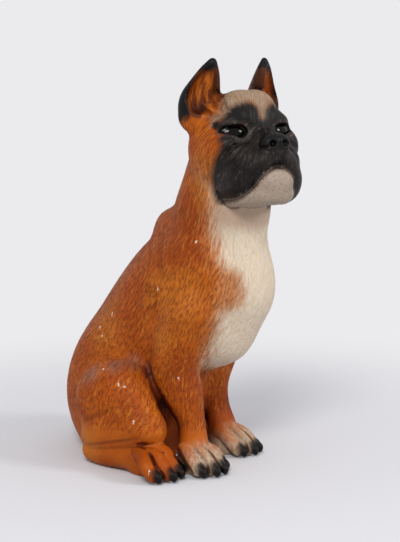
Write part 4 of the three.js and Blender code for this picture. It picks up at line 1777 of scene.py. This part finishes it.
    def lay(self, points: Array, normals: Array) -> dict[str, Array]:
        """Work out every patch.

        Args:
            points: The figure's points, in its own frame.
            normals: The normals there.

        Returns:
            For each attribute, its value at each point.
        """
        head, clay = self.figure.head, self.figure.clay
        local = head.place.inside(points)
        lip, jaw = (-self.depth(form, points) for form in (head.lip_clay, head.jaw_clay))
        mask = self.depth(self.mask, points)
        past_lip = 6.0 * ramp(local[:, 1], 3, 11) * ramp(local[:, 2], -49, -44)
        mask = np.where(local[:, 2] < -24, np.minimum(mask, 3.5 + past_lip - lip), mask)
        near_rim, canal, tip, ear_edge = self.ears(points)
        back = ramp(np.abs(points[:, 0]), 44, 14) * ramp(points[:, 1], -30, 20) * ramp(points[:, 2], 60, 100)
        hollow = 1 - clay.distance(points + normals * self.WIDE) / self.WIDE
        nook = 1 - clay.distance(points + normals * self.FINE) / self.FINE
        edge = 1 + clay.distance(points - normals * self.FINE) / self.FINE
        clays = {"bib": self.bib, "pale": self.pale, "rust": self.rust, "socks": self.socks}
        clays |= {"throat_shade": self.throat_shade, "nose": head.nose_clay, "claw": self.figure.legs.paws.claws}
        sprays = {"dark": self.HOLLOW_SHADE, "highlight_and_lighter": self.HIGHLIGHT_AND_LIGHTER, "deep": self.DARKER_AND_SHADED}
        patches = {name: self.depth(form, points) for name, form in clays.items()}
        patches |= {name: self.sprayed(spots, points) for name, spots in sprays.items()}
        return patches | {
            "mask": mask,
            "chin": np.where(jaw < 2.5, lip - np.maximum(jaw, 0), -self.MOST),
            "rim": near_rim,
            "lid": self.lids(points),
            "in_ear": ramp(near_rim, 3, 6) * ramp(points[:, 2], 250, 262),
            "canal": canal,
            "cheek": self.cheek(points),
            "ear_edge": ear_edge,
            "crease": self.creased(points),
            "dusty": np.maximum(self.sprayed(self.DUSTY, points), 0.85 * back),
            "tip": tip,
            "hollow": np.clip(hollow, 0, 1),
            "nook": np.clip(nook, 0, 1),
            "edge": np.clip(edge, 0, 1),
        }

    def worked(self, points: Array) -> dict[str, Array]:
        """Give where hair is worked in and where whiskers are pricked, from 0 to 1.

        Args:
            points: The figure's points.

        Returns:
            For each attribute, its value at each point.
        """
        figure = self.figure
        local = figure.head.place.inside(points)
        mask = self.depth(self.mask, points)
        near_rim, *_ = self.ears(points)
        low = ramp(points[:, 2], 26, 40)
        face = 1 - ramp(mask, -3, 1)
        brow = 1 - 0.55 * ramp(local[:, 2], 8, 16) * ramp(-local[:, 1], -30, -10)
        ear = ramp(near_rim, 4, 13)
        thigh = 1 - 0.7 * ramp(-figure.thigh.distance(points), -4, 6)
        jaw = ramp(figure.head.jaw_clay.distance(points), 0.5, 3)
        lip = figure.head.lip_clay.distance(points)
        chin = ramp(lip, 3, 6) * (1 - jaw)
        muzzle = ramp(mask, 1, 4) * ramp(local[:, 2], -14, -20) * ramp(lip, 1.5, 0)
        whisker = np.clip(0.9 * chin + 0.35 * muzzle, 0, 1)
        return {"fur": low * face * brow * ear * thigh * jaw, "whisker": whisker}


@dataclass(frozen=True)
class Edge:
    """The edge of one paint: the patch that it follows, and in millimetres its place, softness and fray."""

    patch: str
    middle: float
    soft: float
    fray: float


class Grain:
    """The noises that the paints share in a material's tree, and the edges that they fray."""

    def __init__(self, wires: Wiring) -> None:
        """Place the noises.

        Args:
            wires: The tree to build in.
        """
        self.wires = wires
        self.soft = self.soft_edge()
        self.streaks = self.noise(scale=420, detail=4, stretch=(1, 1, 0.28))
        self.blotches = self.noise(scale=38, detail=3)
        self.specks = self.noise(scale=900, detail=2)
        self.fine = self.combed(across=1.05, along=4.6)
        self.long = self.combed(across=2.0, along=10.0)
        furry = wires.ramp(wires.attribute("fur"), 0.0, 0.6, 0.15, 1.0)
        self.dark_hair = wires.times(wires.ramp(self.fine, 0.51, 0.66), furry)
        self.light_hair = wires.times(wires.ramp(self.long, 0.54, 0.72), furry)
        self.brush = wires.attribute("brush")

    @staticmethod
    def soft_edge() -> bpy.types.NodeTree:
        """Build the group that turns a patch's depth into a mask with a soft, frayed edge.

        Returns:
            The group.
        """
        group = bpy.data.node_groups.new("soft edge", "ShaderNodeTree")
        for name in ("Depth", "Middle", "Softness", "Fray", "Grain"):
            group.interface.new_socket(name, in_out="INPUT", socket_type="NodeSocketFloat")
        group.interface.new_socket("Mask", in_out="OUTPUT", socket_type="NodeSocketFloat")
        wires = Wiring(group)
        given = wires.add("NodeGroupInput").outputs
        shift = wires.times(wires.minus(given["Grain"], 0.5), given["Fray"])
        frayed = wires.maths("ADD", wires.minus(given["Depth"], given["Middle"]), shift)
        start = wires.times(given["Softness"], -1.0)
        wires.add("NodeGroupOutput", {"Mask": wires.ramp(frayed, start, given["Softness"])})
        return group

    def edge(self, edge: Edge, noise: Socket) -> Socket:
        """Place the soft edge group on a stored patch.

        Args:
            edge: The edge.
            noise: The noise that frays it.

        Returns:
            The mask.
        """
        inputs = {
            "Depth": self.wires.attribute(edge.patch),
            "Middle": edge.middle,
            "Softness": edge.soft,
            "Fray": edge.fray,
            "Grain": noise,
        }
        return self.wires.add("ShaderNodeGroup", inputs, node_tree=self.soft).outputs["Mask"]

    def noise(self, scale: float, detail: float, stretch: Point = (1, 1, 1)) -> Socket:
        """Place a noise on the object's own coordinates.

        Args:
            scale: Its waves for each metre.
            detail: How many finer waves are laid over them.
            stretch: The share of the scale along each axis.

        Returns:
            Its value, from 0 to 1.
        """
        where = self.wires.add("ShaderNodeTexCoord").outputs["Object"]
        where = self.wires.add("ShaderNodeMapping", {"Vector": where, "Scale": stretch}).outputs[0]
        inputs = {"Vector": where, "Scale": scale, "Detail": detail, "Roughness": 0.55}
        return self.wires.add("ShaderNodeTexNoise", inputs).outputs["Fac"]

    def combed(self, across: float, along: float) -> Socket:
        """Place a noise that runs with the hair.

        Args:
            across: The width of its waves across the hair, in millimetres.
            along: Their length along the hair.

        Returns:
            Its value, from 0 to 1.
        """
        comb = self.wires.add("ShaderNodeAttribute", attribute_name="comb").outputs["Vector"]
        inputs = {
            "Vector": comb,
            "Scale": (1 / (across * MM), 1 / (along * MM), 1),
            "Rotation": (0.0, 0.0, math.radians(37)),
        }
        where = self.wires.add("ShaderNodeMapping", inputs).outputs[0]
        inputs = {"Vector": where, "Scale": 1.0, "Detail": 2.0, "Roughness": 0.5}
        return self.wires.add("ShaderNodeTexNoise", inputs, noise_dimensions="2D").outputs["Fac"]


@dataclass(frozen=True)
class CastPaint:
    """The hand-laid paint on the cast, with its colours as linear light; some of them are painted shade and
    painted highlight.
    """

    name: str = "hand-painted cast"
    coat: Point = (0.39, 0.087, 0.004)
    deep_coat: Point = (0.30, 0.052, 0.001)
    # Darker coat, partly painted shade, for the darker spots
    dark_and_shaded_coat: Point = (0.235, 0.036, 0.001)
    light_coat: Point = (0.49, 0.16, 0.015)
    hair_line: Point = (0.13, 0.022, 0.003)
    cream: Point = (0.62, 0.54, 0.44)
    cream_shade: Point = (0.50, 0.37, 0.24)
    tan: Point = (0.50, 0.24, 0.09)
    sock: Point = (0.47, 0.38, 0.28)
    sock_shade: Point = (0.34, 0.235, 0.15)
    forehead: Point = (0.32, 0.245, 0.175)
    forehead_shade: Point = (0.22, 0.14, 0.085)
    mask: Point = (0.0045, 0.0036, 0.0034)
    mask_light: Point = (0.030, 0.022, 0.019)
    scratch: Point = (0.15, 0.125, 0.108)
    black: Point = (0.005, 0.0042, 0.004)
    # Painted shade: the dark brown laid in the hollows between the legs
    hollow: Point = (0.12, 0.015, 0.0015)
    canal: Point = (0.035, 0.005, 0.0008)
    ear_face: Point = (0.46, 0.12, 0.012)
    ear_line: Point = (0.17, 0.036, 0.005)
    # The chin's two colours are darkened to paint in the shade under the muzzle: its own pale paint with
    # painted shade
    chin: Point = (0.31, 0.245, 0.19)
    chin_shade: Point = (0.19, 0.145, 0.115)
    # Painted shade under the jaw
    throat_shade: Point = (0.35, 0.22, 0.15)
    gum: Point = (0.035, 0.012, 0.008)
    dust: Point = (0.20, 0.10, 0.075)
    chip: Point = (0.72, 0.66, 0.58)

    CHIP_SHAPE = (1.3, 1.1, 0.5)
    CHIPS = (
        (-39.8, -4.0, 133.0),
        (-32.7, 41.8, 109.1),
        (-31.3, 54.0, 97.8),
        (-35.2, 49.3, 92.1),
        (-56.7, 32.8, 72.9),
        (-60.8, 16.6, 64.1),
        (-59.5, 12.2, 62.5),
        (-66.7, -0.4, 39.9),
        (-81.3, -23.4, 10.0),
        (-41.4, -22.5, 69.9),
        (-32.0, -31.6, 168.3),
    )

    WASH = Edge("bib", middle=-6.0, soft=7.0, fray=14.0)
    BIB = Edge("bib", middle=2.5, soft=7.5, fray=13.0)
    RUST = Edge("rust", middle=0.0, soft=6.0, fray=9.0)
    SOCKS = Edge("socks", middle=1.0, soft=6.0, fray=7.0)
    BROW = Edge("pale", middle=-1.0, soft=5.5, fray=7.0)
    UNDER_JAW_SHADE = Edge("throat_shade", middle=0.0, soft=6.0, fray=6.0)
    MASK = Edge("mask", middle=-0.5, soft=3.2, fray=4.5)
    CHIN = Edge("chin", middle=1.2, soft=0.7, fray=0.6)
    LIP_BAND = Edge("chin", middle=3.2, soft=1.5, fray=2.0)
    NOSE = Edge("nose", middle=-0.9, soft=0.5, fray=0.2)
    CLAW = Edge("claw", middle=-1.7, soft=1.9, fray=1.6)
    TIP = Edge("tip", middle=0.0, soft=3.5, fray=3.0)
    SHADE = (0.30, 0.19, 0.14)
    SHINE = 0.13

    def chips(self, grain: Grain) -> Socket:
        """Give where small chips bare the white cast, from 0 to 1.

        Args:
            grain: The shared noises, of which the specks make the chips uneven.

        Returns:
            The mask.
        """
        wires = grain.wires
        where = wires.add("ShaderNodeTexCoord").outputs["Object"]
        where = wires.add("ShaderNodeMapping", {"Vector": where, "Scale": self.CHIP_SHAPE}).outputs[0]
        near = 1.0
        for chip in self.CHIPS:
            inputs = {0: where, 1: tuple(v * MM * share for v, share in zip(chip, self.CHIP_SHAPE))}
            gone = wires.add("ShaderNodeVectorMath", inputs, operation="DISTANCE").outputs["Value"]
            near = wires.maths("MINIMUM", gone, near)
        uneven = wires.times(wires.minus(grain.specks, 0.5), 3.0 * MM)
        return wires.ramp(wires.maths("ADD", near, uneven), 1.0 * MM, 0.3 * MM, 0.0, 0.75)

    def brown(self, grain: Grain) -> Socket:
        """Paint the brown coat, lighter and darker in places, partly as painted highlight and painted shade,
        and the faces of the ears.

        Args:
            grain: The shared noises.

        Returns:
            The colour.
        """
        wires = grain.wires
        colour = wires.mix(wires.ramp(grain.blotches, 0.35, 0.7), self.deep_coat, self.coat)
        # Darker coat in spots, partly painted shade
        colour = wires.lay(self.dark_and_shaded_coat, colour, wires.attribute("deep"), 0.8)
        # Lighter brown on the cheeks, and spots of it that are partly painted highlight
        highlight_and_lighter = wires.most(wires.attribute("highlight_and_lighter"), wires.attribute("cheek"))
        colour = wires.lay(self.light_coat, colour, highlight_and_lighter, 0.5)
        colour = wires.lay(self.light_coat, colour, grain.light_hair, 0.5)
        colour = wires.lay(self.deep_coat, colour, grain.brush, 0.3)
        ear = wires.mix(wires.ramp(grain.long, 0.4, 0.62), self.ear_line, self.ear_face)
        return wires.mix(wires.attribute("in_ear"), colour, ear)

    def pale_paints(self, grain: Grain, colour: Socket) -> Socket:
        """Lay the pale paints over the brown with the painted shade under the jaw, then the dust, the dark
        lines of hair and the painted shade in the hollows between the legs.

        Args:
            grain: The shared noises.
            colour: The colour so far.

        Returns:
            The colour.
        """
        wires = grain.wires
        colour = wires.lay(self.tan, colour, grain.edge(self.WASH, grain.long), 0.5)
        cream = wires.mix(wires.ramp(grain.fine, 0.34, 0.6, 0.35, 1.0), self.cream_shade, self.cream)
        cream = wires.lay(self.cream_shade, cream, grain.brush, 0.25)
        spared = wires.minus(1.0, wires.times(grain.edge(self.RUST, grain.long), 0.9))
        bib = wires.times(grain.edge(self.BIB, grain.long), spared)
        colour = wires.mix(bib, colour, cream)
        toes = wires.mix(wires.ramp(grain.streaks, 0.4, 0.7), self.sock_shade, self.sock)
        colour = wires.lay(toes, colour, grain.edge(self.SOCKS, grain.streaks), 0.93)
        brow = wires.mix(wires.ramp(grain.fine, 0.36, 0.6), self.forehead_shade, self.forehead)
        pale = grain.edge(self.BROW, grain.long)
        colour = wires.lay(brow, colour, pale, 0.92)
        # Painted shade under the jaw, over the throat
        colour = wires.lay(self.throat_shade, colour, grain.edge(self.UNDER_JAW_SHADE, grain.long), 0.7)
        dusty = wires.times(wires.attribute("dusty"), wires.ramp(grain.blotches, 0.3, 0.65, 0.35, 0.9))
        colour = wires.lay(self.dust, colour, dusty, 0.72)
        lines = wires.most(wires.times(wires.attribute("hair"), 0.55), wires.times(grain.dark_hair, 0.62))
        lines = wires.times(lines, wires.ramp(wires.most(bib, pale), 0.0, 1.0, 1.0, 0.45))
        colour = wires.mix(lines, colour, wires.mix(bib, self.hair_line, self.cream_shade))
        # Painted shade in the hollows between the legs
        return wires.mix(wires.attribute("dark"), colour, self.hollow)

    def muzzle(self, grain: Grain, colour: Socket, mask: Socket) -> Socket:
        """Lay the black mask with its scratches, the chin, darkened with painted shade, and the gum under the
        lip.

        Args:
            grain: The shared noises.
            colour: The colour so far.
            mask: Where the black mask lies.

        Returns:
            The colour.
        """
        wires = grain.wires
        edge = wires.attribute("edge")
        black = wires.mix(wires.ramp(grain.blotches, 0.35, 0.65, 0.0, 0.45), self.mask, self.mask_light)
        black = wires.lay(self.mask_light, black, wires.ramp(edge, 0.1, 0.45), 0.7)
        scratched = wires.times(wires.ramp(grain.fine, 0.6, 0.72), wires.ramp(edge, 0.02, 0.3, 0.2, 0.75))
        colour = wires.mix(mask, colour, wires.mix(scratched, black, self.scratch))
        chin = grain.edge(self.CHIN, grain.specks)
        pits = wires.mix(wires.attribute("pit"), self.chin, self.chin_shade)
        colour = wires.mix(chin, colour, wires.mix(wires.ramp(grain.specks, 0.3, 0.5), self.chin_shade, pits))
        under_lip = wires.times(chin, wires.minus(1.0, grain.edge(self.LIP_BAND, grain.specks)))
        return wires.lay(self.gum, colour, under_lip, 0.95)

    def darks(self, grain: Grain) -> Socket:
        """Give where the black of nose, claws, lids and ears lies.

        Args:
            grain: The shared noises.

        Returns:
            The mask.
        """
        wires = grain.wires
        nose, claw, tip = (grain.edge(edge, grain.specks) for edge in (self.NOSE, self.CLAW, self.TIP))
        lid = wires.ramp(wires.attribute("lid"), 4.2, 2.2)
        rim = wires.times(wires.ramp(wires.attribute("rim"), 4.0, 1.5), 0.8)
        rim = wires.most(rim, wires.attribute("ear_edge"))
        return wires.most(wires.most(wires.most(nose, claw), wires.most(tip, rim)), lid)

    def material(self) -> Material:
        """Build the material.

        Returns:
            The material.
        """
        material, wires, shader = new_material(self.name)
        grain = Grain(wires)
        mask, darks = grain.edge(self.MASK, grain.long), self.darks(grain)
        colour = self.muzzle(grain, self.pale_paints(grain, self.brown(grain)), mask)
        colour = wires.mix(wires.attribute("canal"), colour, self.canal)
        colour = wires.mix(darks, colour, self.black)
        shade = wires.mix(1.0, colour, self.SHADE, "MULTIPLY")
        colour = wires.mix(wires.ramp(wires.attribute("hollow"), 0.35, 0.75), colour, shade)
        colour = wires.mix(wires.ramp(wires.attribute("nook"), 0.2, 0.8), colour, shade)
        colour = wires.lay(shade, colour, wires.attribute("crease"), 0.5)
        colour = wires.mix(self.chips(grain), colour, self.chip)
        rough = wires.ramp(grain.specks, 0.3, 0.7, 0.46, 0.6)
        rough = wires.minus(rough, wires.times(wires.most(mask, darks), 0.1))
        height = wires.minus(wires.times(grain.specks, 0.4), wires.times(grain.dark_hair, 0.9))
        bump = wires.add("ShaderNodeBump", {"Height": height, "Strength": 0.7, "Distance": 0.5 * MM})
        finish = {"Base Color": colour, "Roughness": rough, "Normal": bump.outputs[0]}
        wires.feed(shader, finish | {"Specular IOR Level": self.SHINE})
        return material


@dataclass(frozen=True)
class EyeEnamel:
    """The glossy black enamel on the eyeballs."""

    name: str = "black eye enamel"
    colour: Point = (0.0015, 0.0012, 0.001)
    glint: Point = (0.004, 0.002, 0.001)
    cloud_scale: float = 300.0
    shine: float = 0.16

    def material(self) -> Material:
        """Build the material.

        Returns:
            The material.
        """
        material, wires, shader = new_material(self.name)
        where = wires.add("ShaderNodeTexCoord").outputs["Object"]
        cloud = wires.add("ShaderNodeTexNoise", {"Vector": where, "Scale": self.cloud_scale}).outputs["Fac"]
        finish = {"Base Color": wires.mix(cloud, self.colour, self.glint)}
        finish |= {"Roughness": wires.ramp(cloud, 0.2, 0.8, 0.05, 0.1), "Specular IOR Level": self.shine}
        wires.feed(shader, finish)
        return material


@dataclass(frozen=True)
class Studio:
    """The floor, the light and the camera."""

    aim: Point = (0.01005, -0.00865, 0.140)
    azimuth: float = -58.0
    distance: float = 1.1
    rise: float = 0.170
    lens: float = 98.97
    sensor: float = 36.0
    floor_reach: float = 7.0
    floor_colour: Point = (0.63, 0.63, 0.655)
    backdrop: Point = (0.83, 0.83, 0.85)
    room_light: float = 0.8
    fade_from: float = 0.17
    fade_to: float = 0.5
    lamps_aim: Point = (0, 0, 0.15)

    def camera(self) -> None:
        """Set up the camera at the photograph's angle."""
        data = bpy.data.cameras.new("view")
        data.sensor_fit, data.sensor_height, data.lens = "VERTICAL", self.sensor, self.lens
        data.clip_end = 50
        thing = new_object("view", data)
        around = math.radians(self.azimuth)
        away = Vector((math.sin(around) * self.distance, -math.cos(around) * self.distance, self.rise))
        thing.location = Vector(self.aim) + away
        thing.rotation_euler = (-away).to_track_quat("-Z", "Y").to_euler()
        bpy.context.scene.camera = thing

    def floor(self) -> None:
        """Lay the pale floor."""
        mesh = bpy.data.meshes.new("floor")
        ring = np.linspace(0, 2 * math.pi, 96, endpoint=False)
        rim = [(self.floor_reach * math.cos(a), self.floor_reach * math.sin(a), 0.0) for a in ring]
        mesh.from_pydata(rim, [], [tuple(range(len(rim)))])
        thing = new_object("floor", mesh)
        material, wires, shader = new_material("pale floor")
        where = wires.add("ShaderNodeTexCoord").outputs["Object"]
        gone = wires.add("ShaderNodeVectorMath", {0: where}, operation="LENGTH").outputs["Value"]
        far = wires.ramp(gone, self.fade_from, self.fade_to)
        dark = (0.0, 0.0, 0.0)
        finish = {"Roughness": 0.7, "Emission Strength": 1.0, "Specular IOR Level": 0.0}
        finish["Base Color"] = wires.mix(far, self.floor_colour, dark)
        finish["Emission Color"] = wires.mix(far, dark, self.backdrop)
        wires.feed(shader, finish)
        mesh.materials.append(material)

    def lamp(self, name: str, at: Point, size: float, power: float, tint: Point) -> None:
        """Hang a soft square lamp that faces the dog.

        Args:
            name: Its name.
            at: Where it hangs, in metres.
            size: Its side.
            power: Its power in watts.
            tint: Its colour.
        """
        data = bpy.data.lights.new(name, "AREA")
        data.shape, data.size, data.energy, data.color = "SQUARE", size, power, tint
        thing = new_object(name, data)
        thing.location = at
        thing.rotation_euler = (Vector(self.lamps_aim) - Vector(at)).to_track_quat("-Z", "Y").to_euler()

    def light(self) -> None:
        """Light the scene softly from all sides, with a main lamp above and to the left."""
        world = bpy.data.worlds.new("soft room")
        world.use_nodes = True
        wires = Wiring(world.node_tree)
        seen = wires.add("ShaderNodeLightPath").outputs["Is Camera Ray"]
        strength = wires.ramp(seen, 0.0, 1.0, self.room_light, 1.0)
        background = world.node_tree.nodes["Background"]
        background.inputs["Color"].default_value = (*self.backdrop, 1)
        wires.tree.links.new(strength, background.inputs["Strength"])
        bpy.context.scene.world = world
        self.lamp("main", (-1.7, -0.75, 1.7), 0.7, 34, (1, 0.985, 0.96))
        self.lamp("side", (0.5, -2.2, 1.3), 0.6, 24, (0.97, 0.98, 1))

    def set_up(self) -> None:
        """Set up the whole studio."""
        bpy.context.scene.view_settings.view_transform = "Standard"
        self.camera()
        self.floor()
        self.light()


STROKES = (
    Strokes("brush", "fur", 13, 1.6, 0.0, 5.0, 11, 0.15),
    Strokes("hair", "fur", 6.5, 0.8, 0.4, 2.8, 3, 0.22),
    Strokes("pit", "whisker", 0.6, 0.8, 0.35, 2.6, 5, 3.0),
)


def fit_to_box(points: Array, low: Array, high: Array) -> Array:
    """Fit points exactly into a box, which they already fill but for a hair's breadth."""
    least, most = points.min(0), points.max(0)
    return low + (points - least) * (high - low) / (most - least)


def main() -> None:
    """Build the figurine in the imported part's frame, and set up the studio around it."""
    logging.basicConfig(level=logging.INFO, format="%(name)s: %(message)s")
    Studio().set_up()
    figure = Figure()
    patches = Patches(figure)
    mesh = figure.mesh()
    dog = new_object("dog_figurine", mesh)
    low, high = (np.array(corner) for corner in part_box("dog"))
    points, normals = points_and_normals(mesh)
    material = CastPaint().material()
    mesh.materials.append(material)
    store(mesh, "lie", Coat(figure.stance).lie(points / MM, normals))
    for name, values in patches.worked(points / MM).items():
        store(mesh, name, values)
    tree = StrokeTree()
    for strokes in STROKES:
        tree.press(dog, strokes, material)
    thin_out(dog, figure.head.place.inside(points / MM))
    mesh = baked(dog, "dog figurine")
    points, normals = points_and_normals(mesh)
    for name, values in patches.lay(points / MM, normals).items():
        store(mesh, name, values)
    ends = read(mesh.edges, "vertices", 2, np.int32)
    store(mesh, "comb", Coat(figure.stance).combed(points / MM, normals, ends) * MM)
    mesh.materials.append(EyeEnamel().material())
    on_eye = patches.on_eye(read(mesh.polygons, "center", 3) / MM)
    mesh.polygons.foreach_set("material_index", on_eye.astype(np.int32))
    points = fit_to_box(points, low, high)
    mesh.vertices.foreach_set("co", points.astype(np.float32).ravel())
    mesh.update()
    LOG.info("%s: %d faces", dog.name, len(mesh.polygons))
    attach(dog, "root")
    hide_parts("dog")


if __name__ == "__main__":
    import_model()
    main()
